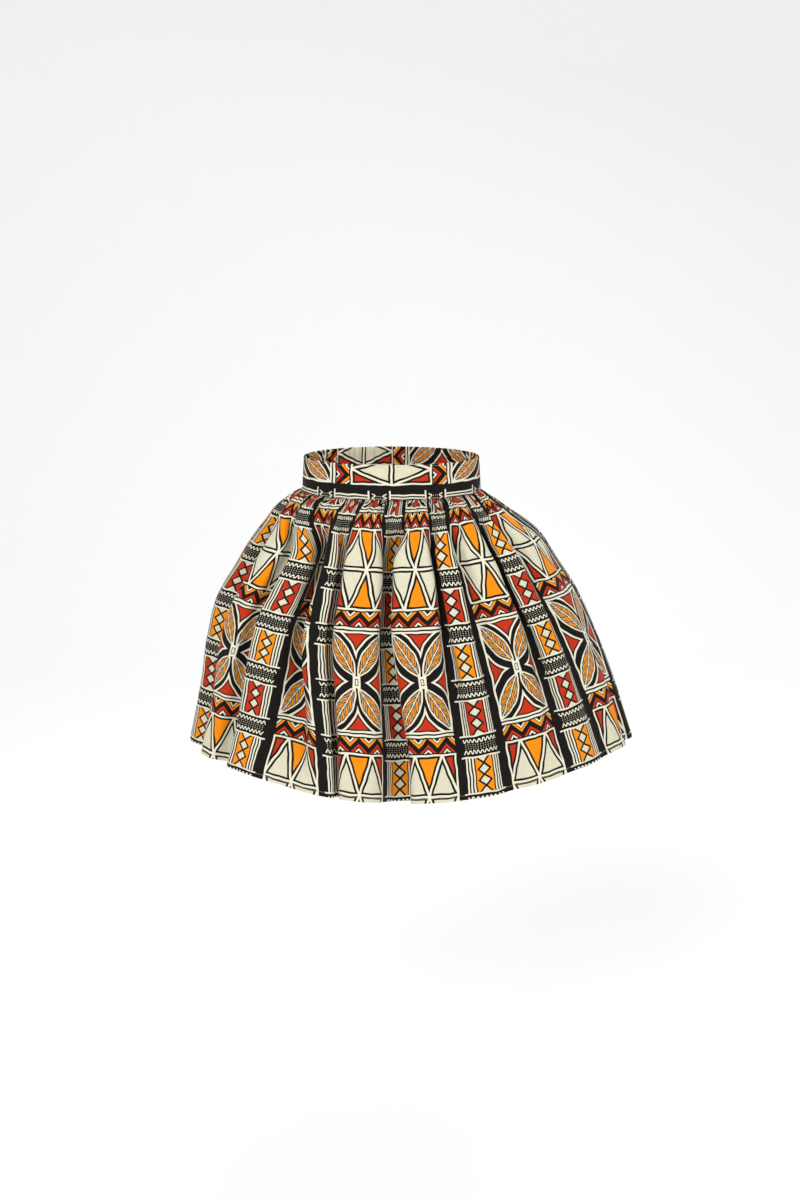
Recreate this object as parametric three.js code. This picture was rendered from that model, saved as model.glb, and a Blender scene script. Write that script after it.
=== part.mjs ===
// A gathered mini skirt: a flat front waistband, a shirred elastic back waistband, a front and a back
// panel of gathered cotton, and two side-seam pockets, each a pair of leaves with a hand's room between.
//
// Millimetres, +Z up, the front faces -Y. The origin is the middle of the waist, half way up the band.
// "Cloth" distances are measured along the cloth: across a panel from the seam at its left edge, and
// down it from the waist seam. "Turn" is an angle round the body, 0 at the middle of the front, 90 at
// the wearer's left side seam (+X), 180 at the middle of the back.
import * as THREE from 'three';

// ---- Driving dimensions -------------------------------------------------------------------------
const BAND_HEIGHT = 55;
const BAND_WALL = 2.4;
const BAND_FLARE = 3; // how much wider the band is at its lower edge, on each side
const WAIST_HALF_WIDTH = 143;
const WAIST_HALF_DEPTH = 93;
const SKIRT_LENGTH = 480; // cloth, from the waist seam to the hem
const WALL = 2.2;
const SEAM_GAP = 0.3;
const FRONT_CLOTH = 1078; // cloth across the front panel
const BACK_CLOTH = 1140; // cloth across the back panel
const HIP = 115; // cloth below the waist seam where the folds are deepest
const PUCKERS_FRONT = 20;
const PUCKERS_BACK = 21;
const PUCKER_DEPTH = 7;
const PUCKER_END = 72; // cloth below the waist seam where the gathers have died out
const ELASTIC_RIPPLES = 36;
const ELASTIC_DEPTH = 3;
const MOUTH_TOP = 28; // the pocket mouth in the side seam, cloth below the waist seam
const MOUTH_END = 185;
const MOUTH_GAPE = 18;
const POCKET_TOP = 24;
const POCKET_END = 250;
const POCKET_REACH = 34; // how far round to the front the bag reaches, degrees
const POCKET_INSET = 62; // how far inside the skirt's outside form it runs, below the hip
const HAND_ROOM = 20; // between the two leaves of a bag
const LEAF_CLEARANCE = 5.0; // from a panel's middle to the edge of a leaf

const PANEL_COLUMNS = 120;
const PANEL_ROWS = [0, 8, 20, 36, 56, 82, HIP, 170, 245, 330, 410, SKIRT_LENGTH];
const FLANK_STEPS = 64; // steps of the sum that walks along one fold

const table = (columns, rows) =>
  rows.map((row) => Object.fromEntries(columns.map((name, i) => [name, row[i]])));

// The round of the skirt at some cloth distance below the waist seam: half its width, how far it swings
// to the wearer's left, its depth to the front and back, how far it has dropped there, how much higher
// than that it hangs at the wearer's left side, and how square it is.
const SECTIONS = table(
  ['cloth', 'halfWidth', 'swing', 'front', 'back', 'dropFront', 'dropSide', 'dropBack', 'tilt', 'square'],
  [
    [0, WAIST_HALF_WIDTH, 0, WAIST_HALF_DEPTH, WAIST_HALF_DEPTH, 0, 0, 0, 0, 2.0],
    [20, 161, -3, 107, 110, 14.4, 9.7, 10.5, 0, 2.1],
    [45, 181.5, -4, 121, 127, 35, 24.5, 29, 1, 2.3],
    [80, 207, 2, 135.6, 145, 66.7, 49, 59, 2, 2.45],
    [HIP, 232, 7, 147, 158, 100, 74, 91.5, 3, 2.5],
    [165, 260, 8, 160, 173, 148, 116, 139, 3.5, 2.5],
    [225, 292, 9, 173.6, 188, 206.5, 168, 197, 4, 2.4],
    [300, 318, 16, 188.4, 204, 280, 237, 270.5, 4.5, 2.3],
    [380, 339, 25, 202.5, 218, 359, 314, 349, 5, 2.2],
    [SKIRT_LENGTH, 366, 32, 215, 232, 461, 412, 448, 5, 2.2],
  ],
);

// A row for each fold: the cloth distance and the turn, at the waist seam, the hip and the hem, of the
// crest on its left, the cloth distance of its valley at the hip and at the hem, and how sharp it is,
// from 0, a soft wave, to 1, broad crests with a narrow valley. The last row is the far seam.
const FOLD_COLUMNS = ['cloth', 'waist', 'hip', 'hem', 'valleyHip', 'valleyHem', 'sharp'];
const FRONT_FOLDS = table(FOLD_COLUMNS, [
  [0, -90, -87, -88, 55, 50, 0.6],
  [110, -73, -58.5, -65, 155, 156, 0.6],
  [200, -58, -42, -51.5, 296, 296, 0.8],
  [364, -28, -26.5, -20.5, 404, 403, 0.8],
  [456, -13, -17.5, -17, 586, 600, 1],
  [664, 17, 8.8, 5.2, 714, 716, 0.8],
  [754, 31, 21, 20.5, 786, 790, 0.5],
  [837, 45, 36, 33.9, 888, 886, 0.9],
  [924, 61, 49, 51, 962, 965, 0.6],
  [1015, 77, 71, 71, 1042, 1044, 0.6],
  [FRONT_CLOTH, 90, 90, 84, 0, 0, 0],
]);
const BACK_FOLDS = table(FOLD_COLUMNS, [
  [0, 90, 90, 84, 44, 44, 0.6],
  [80, 103, 103, 100, 128, 122, 0.6],
  [172, 117, 117, 117, 218, 224, 0.8],
  [262, 131, 131, 132, 304, 300, 0.7],
  [350, 145, 143, 146, 404, 398, 0.9],
  [452, 161, 160, 160, 494, 500, 0.6],
  [540, 175, 172, 174, 602, 594, 1],
  [655, 193, 193, 192, 698, 704, 0.7],
  [741, 207, 206, 205, 792, 786, 0.9],
  [838, 222, 221, 222, 878, 884, 0.6],
  [925, 236, 237, 236, 984, 978, 0.8],
  [1035, 253, 253, 255, 1084, 1090, 0.6],
  [BACK_CLOTH, 270, 273, 272, 0, 0, 0],
]);

// ---- Small sums ---------------------------------------------------------------------------------
const clamp = (x, low, high) => Math.min(high, Math.max(low, x));
const ease = (x) => clamp(x, 0, 1) ** 2 * (3 - 2 * clamp(x, 0, 1));
const mix = (a, b, t) => a + (b - a) * t;

// A smooth curve through a table's rows: the slope at each row is the mean of its neighbours' slopes.
function readTable(rows, x) {
  const after = rows.findIndex((row) => row.cloth > x);
  const at = after < 0 ? rows.length - 2 : Math.max(after - 1, 0);
  const step = (j) => rows[j + 1].cloth - rows[j].cloth;
  const slope = (j, name) => {
    const rise = (k) => (rows[k + 1][name] - rows[k][name]) / step(k);
    if (j === 0) return rise(0);
    if (j === rows.length - 1) return rise(j - 1);
    return (rise(j - 1) * step(j) + rise(j) * step(j - 1)) / (step(j) + step(j - 1));
  };
  const t = (x - rows[at].cloth) / step(at);
  const value = (name) =>
    rows[at][name] * (2 * t ** 3 - 3 * t ** 2 + 1) +
    slope(at, name) * step(at) * (t ** 3 - 2 * t ** 2 + t) +
    rows[at + 1][name] * (3 * t ** 2 - 2 * t ** 3) +
    slope(at + 1, name) * step(at) * (t ** 3 - t ** 2);
  return Object.fromEntries(Object.keys(rows[0]).map((name) => [name, value(name)]));
}

// The mean of cos and of sin of (a sin x) over half a turn of x, for a up to 2.5: how far along and how
// far inwards a flank of cloth reaches when it tips over by up to the angle a.
const meanCos = (a) => 1 - a ** 2 / 4 + a ** 4 / 64 - a ** 6 / 2304 + a ** 8 / 147456;
const meanSin = (a) =>
  (2 / Math.PI) * (a - a ** 3 / 9 + a ** 5 / 225 - a ** 7 / 11025 + a ** 9 / 893025);
const tipFor = (reach) => {
  const spare = 1 - reach;
  return 2 * Math.sqrt(spare) * (1 + 0.14 * spare + 0.06 * spare ** 2);
};

// ---- The outside form, with no folds ------------------------------------------------------------
const DROP_POWER = 4; // how soon, away from the middle, the drop has become the side's
function envelope(turnDegrees, cloth) {
  const section = readTable(SECTIONS, cloth);
  const turn = THREE.MathUtils.degToRad(turnDegrees);
  const across = Math.sin(turn);
  const inFront = Math.cos(turn) > 0;
  const depth = inFront ? section.front : -section.back;
  const along = Math.max(0, 1 - Math.abs(across) ** section.square) ** (1 / section.square);
  const dropMiddle = inFront ? section.dropFront : section.dropBack;
  const drop = mix(section.dropSide, dropMiddle, along ** DROP_POWER) - section.tilt * across;
  return new THREE.Vector3(
    section.swing + section.halfWidth * across,
    -depth * along,
    -BAND_HEIGHT / 2 - SEAM_GAP - drop,
  );
}

// ---- Folds --------------------------------------------------------------------------------------
// One fold between two crests a chord apart. The cloth leaves the first crest flat, tips inwards by an
// angle that swells and dies away along the first flank, turns at the valley and comes back likewise.
// Returns points of (share of the chord, share of the cloth inwards) at even steps of cloth.
const MAX_REACH = 0.995;
const SHARP_REACH = 0.3; // what a sharp fold's flanks reach for their length
const NARROWEST = 0.5; // the least share of a fold's cloth that its flanks take
const LEAN_SHARE = 0.45;
function foldProfile(chord, cloth, valleyShare, sharp, tipLimit) {
  const reach = Math.min(chord / cloth, MAX_REACH);
  const narrow = clamp((1 - reach) / (1 - SHARP_REACH), NARROWEST, 1);
  const share = mix(1, narrow, sharp);
  const tip = Math.min(tipFor(1 - (1 - reach) / share), tipLimit);
  const along = meanCos(tip);
  const inwards = meanSin(tip);
  const length = Math.hypot(along, inwards);
  const leanLimit = 0.5 * (along / length) ** 2 * LEAN_SHARE;
  const middle = 0.5 + clamp(valleyShare - 0.5, -leanLimit, leanLimit);
  const first = length * middle;
  const second = length * (1 - middle);
  const corner = (near, far) =>
    Math.acos(clamp((near ** 2 + along ** 2 - far ** 2) / (2 * near * along), -1, 1));
  const even = Math.atan2(inwards, along);
  const firstTip = (tip * corner(first, second)) / even;
  const secondTip = (-tip * corner(second, first)) / even;
  const start = (1 - share) * middle;
  const angleAt = (q) => {
    const r = (q - start) / share;
    if (r <= 0 || r >= 1) return 0;
    if (r < middle) return firstTip * Math.sin((Math.PI * r) / middle);
    return secondTip * Math.sin((Math.PI * (r - middle)) / (1 - middle));
  };
  const points = [[0, 0]];
  for (let step = 0; step < FLANK_STEPS; step += 1) {
    const angle = angleAt((step + 0.5) / FLANK_STEPS);
    const [x, y] = points[step];
    points.push([x + Math.cos(angle) / FLANK_STEPS, y + Math.sin(angle) / FLANK_STEPS]);
  }
  const [endX, endY] = points[FLANK_STEPS];
  return points.map(([x, y], step) => [x / endX, (y - (endY * step) / FLANK_STEPS) / endX]);
}

// Folds start shallow at the waist seam, are free to tip right over by the hip, and soften to the hem.
const TIP_AT_WAIST = 0.3; // radians
const TIP_BELOW = 1.9;
const TIP_FREE = 105; // cloth below the waist seam
const HEM_SHARPNESS = 0.5;
const tipLimitAt = (cloth) => mix(TIP_AT_WAIST, TIP_BELOW, ease(cloth / TIP_FREE));
const hipToHem = (cloth) => clamp((cloth - HIP) / (SKIRT_LENGTH - HIP), 0, 1);
const softening = (cloth) => mix(1, HEM_SHARPNESS, ease(hipToHem(cloth)));

function crestTurn(fold, cloth) {
  const toHem = hipToHem(cloth);
  return fold.waist + (fold.hip - fold.waist) * ease(cloth / HIP) + (fold.hem - fold.hip) * toHem;
}

// A panel's middle surface at one level: a point for each cloth distance across it.
const VALLEY_DROP = 0.25; // how much lower cloth hangs for each millimetre that it folds inwards
function panelLevel(folds, acrossCloth, cloth) {
  const crests = folds.map((fold) => envelope(crestTurn(fold, cloth), cloth));
  const toHem = hipToHem(cloth);
  const profiles = folds.slice(0, -1).map((fold, i) => {
    const width = folds[i + 1].cloth - fold.cloth;
    const chord = Math.hypot(crests[i + 1].x - crests[i].x, crests[i + 1].y - crests[i].y);
    const valley = mix(fold.valleyHip, fold.valleyHem, toHem);
    const share = (valley - fold.cloth) / width;
    return foldProfile(chord, width, share, fold.sharp * softening(cloth), tipLimitAt(cloth));
  });
  return acrossCloth.map((s) => {
    const found = folds.findIndex((fold) => fold.cloth > s) - 1;
    const i = found < 0 ? folds.length - 2 : found;
    const q = (s - folds[i].cloth) / (folds[i + 1].cloth - folds[i].cloth);
    const at = Math.min(Math.floor(q * FLANK_STEPS), FLANK_STEPS - 1);
    const part = q * FLANK_STEPS - at;
    const along = mix(profiles[i][at][0], profiles[i][at + 1][0], part);
    const inwards = mix(profiles[i][at][1], profiles[i][at + 1][1], part);
    const [from, to] = [crests[i], crests[i + 1]];
    const chord = new THREE.Vector2(to.x - from.x, to.y - from.y);
    const normal = new THREE.Vector2(-chord.y, chord.x);
    const turn = mix(crestTurn(folds[i], cloth), crestTurn(folds[i + 1], cloth), q);
    const outside = envelope(turn, cloth);
    const point = new THREE.Vector3(
      from.x + chord.x * along + normal.x * inwards + outside.x - mix(from.x, to.x, q),
      from.y + chord.y * along + normal.y * inwards + outside.y - mix(from.y, to.y, q),
      0,
    );
    const folded = Math.hypot(outside.x, outside.y) - Math.hypot(point.x, point.y);
    point.z = outside.z - VALLEY_DROP * Math.max(0, folded);
    return point;
  });
}

// ---- Gathers, seam edges and pocket mouths --------------------------------------------------------
const towardsAxis = (point) => new THREE.Vector3(-point.x, -point.y, 0).normalize();
const PUCKER_FULL = 14; // cloth below the waist seam where they are deepest, and where they start to fade
const PUCKER_FADE = 10;
const PUCKER_AT_SEAM = 0.62; // their depth in the seam, as a share of the deepest
const puckerFade = (cloth) =>
  mix(PUCKER_AT_SEAM, 1, ease(cloth / PUCKER_FULL)) *
  (1 - ease((cloth - PUCKER_FADE) / (PUCKER_END - PUCKER_FADE)));

// A panel's gathers wander off an even spacing, and their strength comes and goes, by slow waves: each
// has a size, the radians it runs through across the panel, and the radians it starts at.
const PUCKER_WANDER = [
  { size: 7, run: 9.4, start: 0.8 },
  { size: 4, run: 27, start: 0 },
];
const PUCKER_STRENGTH = { size: 0.25, run: 41, start: 1.7 };
const PLAIN_EDGE = 25; // cloth beside a side seam that isn't gathered
const slowWave = ({ size, run, start }, s, width) => size * Math.sin((s * run) / width + start);

function addPuckers(point, s, width, count, cloth) {
  const uneven = PUCKER_WANDER.reduce((place, wave) => place + slowWave(wave, s, width), s);
  const wave = 0.5 - 0.5 * Math.cos((2 * Math.PI * count * uneven) / width);
  const strength = 1 - PUCKER_STRENGTH.size + slowWave(PUCKER_STRENGTH, s, width);
  const edge = ease(s / PLAIN_EDGE) * ease((width - s) / PLAIN_EDGE);
  const depth = PUCKER_DEPTH * wave * strength * edge * puckerFade(cloth);
  return point.addScaledVector(towardsAxis(point), depth);
}

// How open the pocket mouth is down the seam, from 0 to 1: a half wave, a little fuller than a sine.
const FULLNESS = 0.8;
const mouthOpen = (cloth) =>
  Math.sin(Math.PI * clamp((cloth - MOUTH_TOP) / (MOUTH_END - MOUTH_TOP), 0, 1)) ** FULLNESS;

// How far each edge of a panel is drawn from the side seam: half the seam's gap, and half the pocket
// mouth's gape, which dies away into the panel.
const GAPE_SPREAD = 70; // cloth beside the seam that the gape and the seam's gap reach
const GAP_SPREAD = 20;
function seamShift(s, width, cloth) {
  const fromSeam = Math.min(s, width - s);
  const gape = (MOUTH_GAPE / 2) * mouthOpen(cloth) * (1 - ease(fromSeam / GAPE_SPREAD));
  return gape + (SEAM_GAP / 2) * (1 - ease(fromSeam / GAP_SPREAD));
}

function panelGrid(folds, width, puckers, towardsFront) {
  const across = Array.from({ length: PANEL_COLUMNS + 1 }, (_, i) => (width * i) / PANEL_COLUMNS);
  return PANEL_ROWS.map((cloth) =>
    panelLevel(folds, across, cloth).map((point, i) => {
      addPuckers(point, across[i], width, puckers, cloth);
      point.y += (towardsFront ? -1 : 1) * seamShift(across[i], width, cloth);
      return point;
    }),
  );
}

// ---- Walls --------------------------------------------------------------------------------------
// A closed wall about a grid of middle points: an outer and an inner sheet half the thickness away along
// the grid's normals, and rims that join them. Grid rows run downwards and columns to the right, seen
// from outside. Where `edgeNormal` is given, it is the direction used on the first and last columns, and
// the first and last rows are squared off level.
function wallGeometry(grid, thickness, edgeNormal) {
  const rows = grid.length;
  const columns = grid[0].length;
  const normals = grid.map((row, r) =>
    row.map((point, c) => {
      if (edgeNormal && (c === 0 || c === columns - 1)) return edgeNormal(point);
      const up = grid[Math.max(r - 1, 0)][c];
      const down = grid[Math.min(r + 1, rows - 1)][c];
      const left = row[Math.max(c - 1, 0)];
      const right = row[Math.min(c + 1, columns - 1)];
      const normal = down.clone().sub(up).cross(right.clone().sub(left));
      if (edgeNormal && (r === 0 || r === rows - 1)) normal.z = 0;
      return normal.normalize();
    }),
  );
  const positions = [];
  for (const side of [1, -1]) {
    grid.forEach((row, r) =>
      row.forEach((point, c) => {
        const place = point.clone().addScaledVector(normals[r][c], (side * thickness) / 2);
        positions.push(place.x, place.y, place.z);
      }),
    );
  }
  const outer = (r, c) => r * columns + c;
  const inner = (r, c) => rows * columns + outer(r, c);
  const index = [];
  const quad = (a, b, c, d) => index.push(a, b, c, a, c, d);
  for (let r = 0; r < rows - 1; r += 1) {
    for (let c = 0; c < columns - 1; c += 1) {
      quad(outer(r, c), outer(r + 1, c), outer(r + 1, c + 1), outer(r, c + 1));
      quad(inner(r, c), inner(r, c + 1), inner(r + 1, c + 1), inner(r + 1, c));
    }
    const last = columns - 1;
    quad(outer(r, 0), inner(r, 0), inner(r + 1, 0), outer(r + 1, 0));
    quad(outer(r, last), outer(r + 1, last), inner(r + 1, last), inner(r, last));
  }
  for (let c = 0; c < columns - 1; c += 1) {
    const last = rows - 1;
    quad(outer(0, c), outer(0, c + 1), inner(0, c + 1), inner(0, c));
    quad(outer(last, c), inner(last, c), inner(last, c + 1), outer(last, c + 1));
  }
  const geometry = new THREE.BufferGeometry();
  geometry.setAttribute('position', new THREE.Float32BufferAttribute(positions, 3));
  geometry.setIndex(index);
  geometry.computeVertexNormals();
  return geometry;
}

// ---- Pieces -------------------------------------------------------------------------------------
const awayFromAxis = (point) => towardsAxis(point).negate();

const panel = (folds, width, puckers, towardsFront) =>
  wallGeometry(panelGrid(folds, width, puckers, towardsFront), WALL, awayFromAxis);

// A half of the waistband, from one side seam to the other. The elastic half is rippled by its casing.
const BAND_EDGE = 1 / 12; // the share of its run, at each end, over which ripples and gaps fade
function waistband(fromTurn, toTurn, columns, rows, ripples) {
  const grid = Array.from({ length: rows + 1 }, (_, r) =>
    Array.from({ length: columns + 1 }, (_, c) => {
      const share = c / columns;
      const turn = THREE.MathUtils.degToRad(mix(fromTurn, toTurn, share));
      const down = r / rows;
      const [nearStart, nearEnd] = [ease(share / BAND_EDGE), ease((1 - share) / BAND_EDGE)];
      const edge = nearStart * nearEnd;
      const ripple = ELASTIC_DEPTH * edge * (0.5 - 0.5 * Math.cos(2 * Math.PI * ripples * share));
      const grow = BAND_FLARE * (down - 1) - ripple;
      const x = (WAIST_HALF_WIDTH + grow) * Math.sin(turn);
      const y = -(WAIST_HALF_DEPTH + grow) * Math.cos(turn);
      const gap = (SEAM_GAP / 2) * (2 - nearStart - nearEnd);
      return new THREE.Vector3(x, y - gap * Math.sign(Math.cos(turn)), BAND_HEIGHT * (0.5 - down));
    }),
  );
  return wallGeometry(grid, BAND_WALL, awayFromAxis);
}

// Near the waist a bag lies closer to the skirt, clear of the waist opening.
const INSET_AT_WAIST = 20;
const INSET_SLOPE = 0.42;
const insetAt = (cloth) => Math.min(POCKET_INSET, INSET_AT_WAIST + INSET_SLOPE * cloth);

// The front leaf of a pocket bag, as a grid of its middle surface: from the side seam inwards, then round
// to the front behind the folds. `side` is -1 for the wearer's right and 1 for the left. The bag is
// rounded at its top and bottom, where it is `END_WIDTH` of its width.
const LEAF_COLUMNS = 10;
const LEAF_ROWS = 12;
const END_WIDTH = 0.6;
const INWARDS_FIRST = 0.35; // the share of the bag's width over which it runs straight inwards
const TURN_DELAY = 0.33; // how much its turn round the body lags there
function frontLeafGrid(side) {
  const seamFold = side < 0 ? FRONT_FOLDS[0] : FRONT_FOLDS.at(-1);
  return Array.from({ length: LEAF_ROWS + 1 }, (_, r) => {
    const down = r / LEAF_ROWS;
    const cloth = mix(POCKET_TOP, POCKET_END, down);
    const width = mix(END_WIDTH, 1, Math.sqrt(1 - Math.abs(2 * down - 1) ** 3));
    return Array.from({ length: LEAF_COLUMNS + 1 }, (__, c) => {
      const out = (c / LEAF_COLUMNS) * width;
      const round = out - TURN_DELAY * Math.sin(Math.PI * out);
      const point = envelope(crestTurn(seamFold, cloth) - side * POCKET_REACH * round, cloth);
      const inset = LEAF_CLEARANCE + insetAt(cloth) * ease(out / INWARDS_FIRST);
      point.addScaledVector(towardsAxis(point), inset);
      point.y -= leafGap(down, c / LEAF_COLUMNS) / 2;
      return point;
    });
  });
}

// The room between a bag's two leaves: the open mouth at the seam, a hand's room within, and no more
// than a seam at the edges.
const MOUTH_REACH = 0.625; // the share of the bag's width that its mouth's gape reaches
function leafGap(down, across) {
  const cloth = mix(POCKET_TOP, POCKET_END, down);
  const mouth = MOUTH_GAPE * mouthOpen(cloth) * (1 - ease(across / MOUTH_REACH));
  const hand = HAND_ROOM * (Math.sin(Math.PI * across) * Math.sin(Math.PI * down)) ** FULLNESS;
  return WALL + SEAM_GAP + Math.max(mouth, hand);
}

// The back leaf follows the front one, moved out along its normals towards the back of the skirt, and
// straight back beside the seam.
const STRAIGHT_BACK = 1 / 3; // the share of the bag's width over which its normals turn
function backLeafGrid(front) {
  const rows = front.length - 1;
  const columns = front[0].length - 1;
  return front.map((row, r) =>
    row.map((point, c) => {
      const down = front[Math.min(r + 1, rows)][c].clone().sub(front[Math.max(r - 1, 0)][c]);
      const across = row[Math.min(c + 1, columns)].clone().sub(row[Math.max(c - 1, 0)]);
      const normal = down.cross(across).normalize();
      if (normal.y < 0) normal.negate();
      const turned = ease(c / columns / STRAIGHT_BACK);
      normal.x *= turned;
      normal.z *= turned;
      return point.clone().addScaledVector(normal.normalize(), leafGap(r / rows, c / columns));
    }),
  );
}

function pocketLeaves(side) {
  const front = frontLeafGrid(side);
  const fromOutside = (grid) => (side < 0 ? grid : grid.map((row) => row.toReversed()));
  return [front, backLeafGrid(front)].map((grid) => wallGeometry(fromOutside(grid), WALL));
}

// ---- The skirt ----------------------------------------------------------------------------------
const cloth = (color) => new THREE.MeshStandardMaterial({ color, roughness: 0.72, metalness: 0 });
const printed = cloth(0xa4552a);
const bandCloth = cloth(0x35302e);
const pocketCloth = cloth(0x7c4a2c);

const skirt = new THREE.Group();
function add(name, geometry, material) {
  const mesh = new THREE.Mesh(geometry, material.clone());
  mesh.name = name;
  skirt.add(mesh);
}

const FLAT_COLUMNS = 40;
const RIPPLE_COLUMNS = 6;
const BAND_ROWS = 2;
const backColumns = ELASTIC_RIPPLES * RIPPLE_COLUMNS;
add('waistband_front', waistband(-90, 90, FLAT_COLUMNS, BAND_ROWS, 0), bandCloth);
add('waistband_back', waistband(90, 270, backColumns, BAND_ROWS, ELASTIC_RIPPLES), bandCloth);
add('skirt_front', panel(FRONT_FOLDS, FRONT_CLOTH, PUCKERS_FRONT, true), printed);
add('skirt_back', panel(BACK_FOLDS, BACK_CLOTH, PUCKERS_BACK, false), printed);
for (const [sideName, side] of [['right', -1], ['left', 1]]) {
  const [frontLeaf, backLeaf] = pocketLeaves(side);
  add(`pocket_${sideName}_front`, frontLeaf, pocketCloth);
  add(`pocket_${sideName}_back`, backLeaf, pocketCloth);
}

export default skirt;
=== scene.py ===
"""A gathered mini skirt in wax-printed cotton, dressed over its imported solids.

Lengths are in millimetres until a mesh is made. +Z is up and the front faces -Y. The origin is the
middle of the waist, half way up the waistband. "Cloth" distances run along the cloth: across a panel
from the seam at its left edge, seen from outside, and down it from the waist seam. A "turn" is an angle
round the body: 0 at the middle of the front, 90 at the wearer's left side seam (+X), 180 at the back.
"""

from __future__ import annotations

import logging
import math
from dataclasses import dataclass, field
from enum import Enum

import bpy
import numpy as np
from numpy.typing import NDArray
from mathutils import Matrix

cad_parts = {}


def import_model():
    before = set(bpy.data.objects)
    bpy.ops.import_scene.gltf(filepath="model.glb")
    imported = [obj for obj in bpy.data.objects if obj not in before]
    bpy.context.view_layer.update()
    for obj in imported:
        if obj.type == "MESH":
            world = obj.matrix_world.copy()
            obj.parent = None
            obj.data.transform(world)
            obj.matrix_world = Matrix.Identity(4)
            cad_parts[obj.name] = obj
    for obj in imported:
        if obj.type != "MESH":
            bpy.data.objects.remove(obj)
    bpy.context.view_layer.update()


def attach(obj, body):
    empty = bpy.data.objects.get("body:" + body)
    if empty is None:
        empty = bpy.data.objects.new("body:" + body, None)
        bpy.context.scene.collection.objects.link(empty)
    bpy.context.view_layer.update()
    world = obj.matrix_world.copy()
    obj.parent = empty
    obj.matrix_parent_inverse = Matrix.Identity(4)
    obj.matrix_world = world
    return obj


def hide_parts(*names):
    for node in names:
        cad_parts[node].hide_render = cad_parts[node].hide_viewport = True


Array = NDArray[np.float64]
Span = tuple[float, float]
Triple = tuple[float, float, float]
log = logging.getLogger("skirt")

METRES = 0.001  # metres in a millimetre
BODY = "root"

# ---- Driving dimensions, millimetres ------------------------------------------------------------
BAND_HEIGHT = 55.0
BAND_FLARE = 3.0
WAIST_HALF_WIDTH = 143.0
WAIST_HALF_DEPTH = 93.0
SKIRT_LENGTH = 480.0
SEAM_GAP = 0.3
FRONT_CLOTH = 1078.0
BACK_CLOTH = 1140.0
HIP = 115.0
CLOTH_THICKNESS = 0.7
HEM_TURN = 10.0
HEM_TURN_THICKNESS = 1.0
HEM_TURN_STEP = 2.0
CASING_ROWS = 2
MOUTH_TOP = 28.0
MOUTH_END = 185.0
MOUTH_GAPE = 18.0
POCKET_TOP = 24.0
POCKET_END = 250.0
POCKET_REACH = 34.0
POCKET_INSET = 62.0
HAND_ROOM = 20.0
LEAF_CLEARANCE = 5.0
FULL_SINE = 0.8  # a sine to this power is a little full

# Where the print lies on the waistband, which is cut with the print turned a quarter.
BAND_PRINT_TOP = 193.0
BAND_PRINT_MIDDLE = 115.0
BACK_PRINT_AT = 400.0

# A row for each level of the skirt with no folds: the cloth distance below the waist seam, half the
# width and how far it swings to +X, the depths, the drops, the tilt and the power of the oval.
SECTION_COLUMNS = (
    "cloth", "half_width", "swing", "front", "back", "drop_front", "drop_side", "drop_back",
    "tilt", "square",
)
SECTIONS = np.array([
    [0, WAIST_HALF_WIDTH, 0, WAIST_HALF_DEPTH, WAIST_HALF_DEPTH, 0, 0, 0, 0, 2.0],
    [20, 161, -3, 107, 110, 14.4, 9.7, 10.5, 0, 2.1],
    [45, 181.5, -4, 121, 127, 35, 24.5, 29, 1, 2.3],
    [80, 207, 2, 135.6, 145, 66.7, 49, 59, 2, 2.45],
    [HIP, 232, 7, 147, 158, 100, 74, 91.5, 3, 2.5],
    [165, 260, 8, 160, 173, 148, 116, 139, 3.5, 2.5],
    [225, 292, 9, 173.6, 188, 206.5, 168, 197, 4, 2.4],
    [300, 318, 16, 188.4, 204, 280, 237, 270.5, 4.5, 2.3],
    [380, 339, 25, 202.5, 218, 359, 314, 349, 5, 2.2],
    [SKIRT_LENGTH, 366, 32, 215, 232, 461, 412, 448, 5, 2.2],
])

# A row for each fold: the cloth distance and the turn, at the waist seam, the hip and the hem, of the
# crest on its left, the cloth distance of its valley at the hip and the hem, and how sharp it is.
FOLD_COLUMNS = ("cloth", "waist", "hip", "hem", "valley_hip", "valley_hem", "sharp")
FRONT_FOLDS = np.array([
    [0, -90, -87, -88, 55, 50, 0.6],
    [110, -73, -58.5, -65, 155, 156, 0.6],
    [200, -58, -42, -51.5, 296, 296, 0.8],
    [364, -28, -26.5, -20.5, 404, 403, 0.8],
    [456, -13, -17.5, -17, 586, 600, 1],
    [664, 17, 8.8, 5.2, 714, 716, 0.8],
    [754, 31, 21, 20.5, 786, 790, 0.5],
    [837, 45, 36, 33.9, 888, 886, 0.9],
    [924, 61, 49, 51, 962, 965, 0.6],
    [1015, 77, 71, 71, 1042, 1044, 0.6],
    [FRONT_CLOTH, 90, 90, 84, 0, 0, 0],
])
BACK_FOLDS = np.array([
    [0, 90, 90, 84, 44, 44, 0.6],
    [80, 103, 103, 100, 128, 122, 0.6],
    [172, 117, 117, 117, 218, 224, 0.8],
    [262, 131, 131, 132, 304, 300, 0.7],
    [350, 145, 143, 146, 404, 398, 0.9],
    [452, 161, 160, 160, 494, 500, 0.6],
    [540, 175, 172, 174, 602, 594, 1],
    [655, 193, 193, 192, 698, 704, 0.7],
    [741, 207, 206, 205, 792, 786, 0.9],
    [838, 222, 221, 222, 878, 884, 0.6],
    [925, 236, 237, 236, 984, 978, 0.8],
    [1035, 253, 253, 255, 1084, 1090, 0.6],
    [BACK_CLOTH, 270, 273, 272, 0, 0, 0],
])


# ---- Small sums ---------------------------------------------------------------------------------
def ease(x: Array | float) -> Array:
    """A smooth step from 0 to 1: three x squared less two x cubed, with x held between 0 and 1."""
    x = np.clip(x, 0.0, 1.0)
    return x * x * (3.0 - 2.0 * x)


def mix(a: Array | float, b: Array | float, t: Array | float) -> Array:
    """The value a share t of the way from a to b."""
    return a + (b - a) * t


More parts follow.
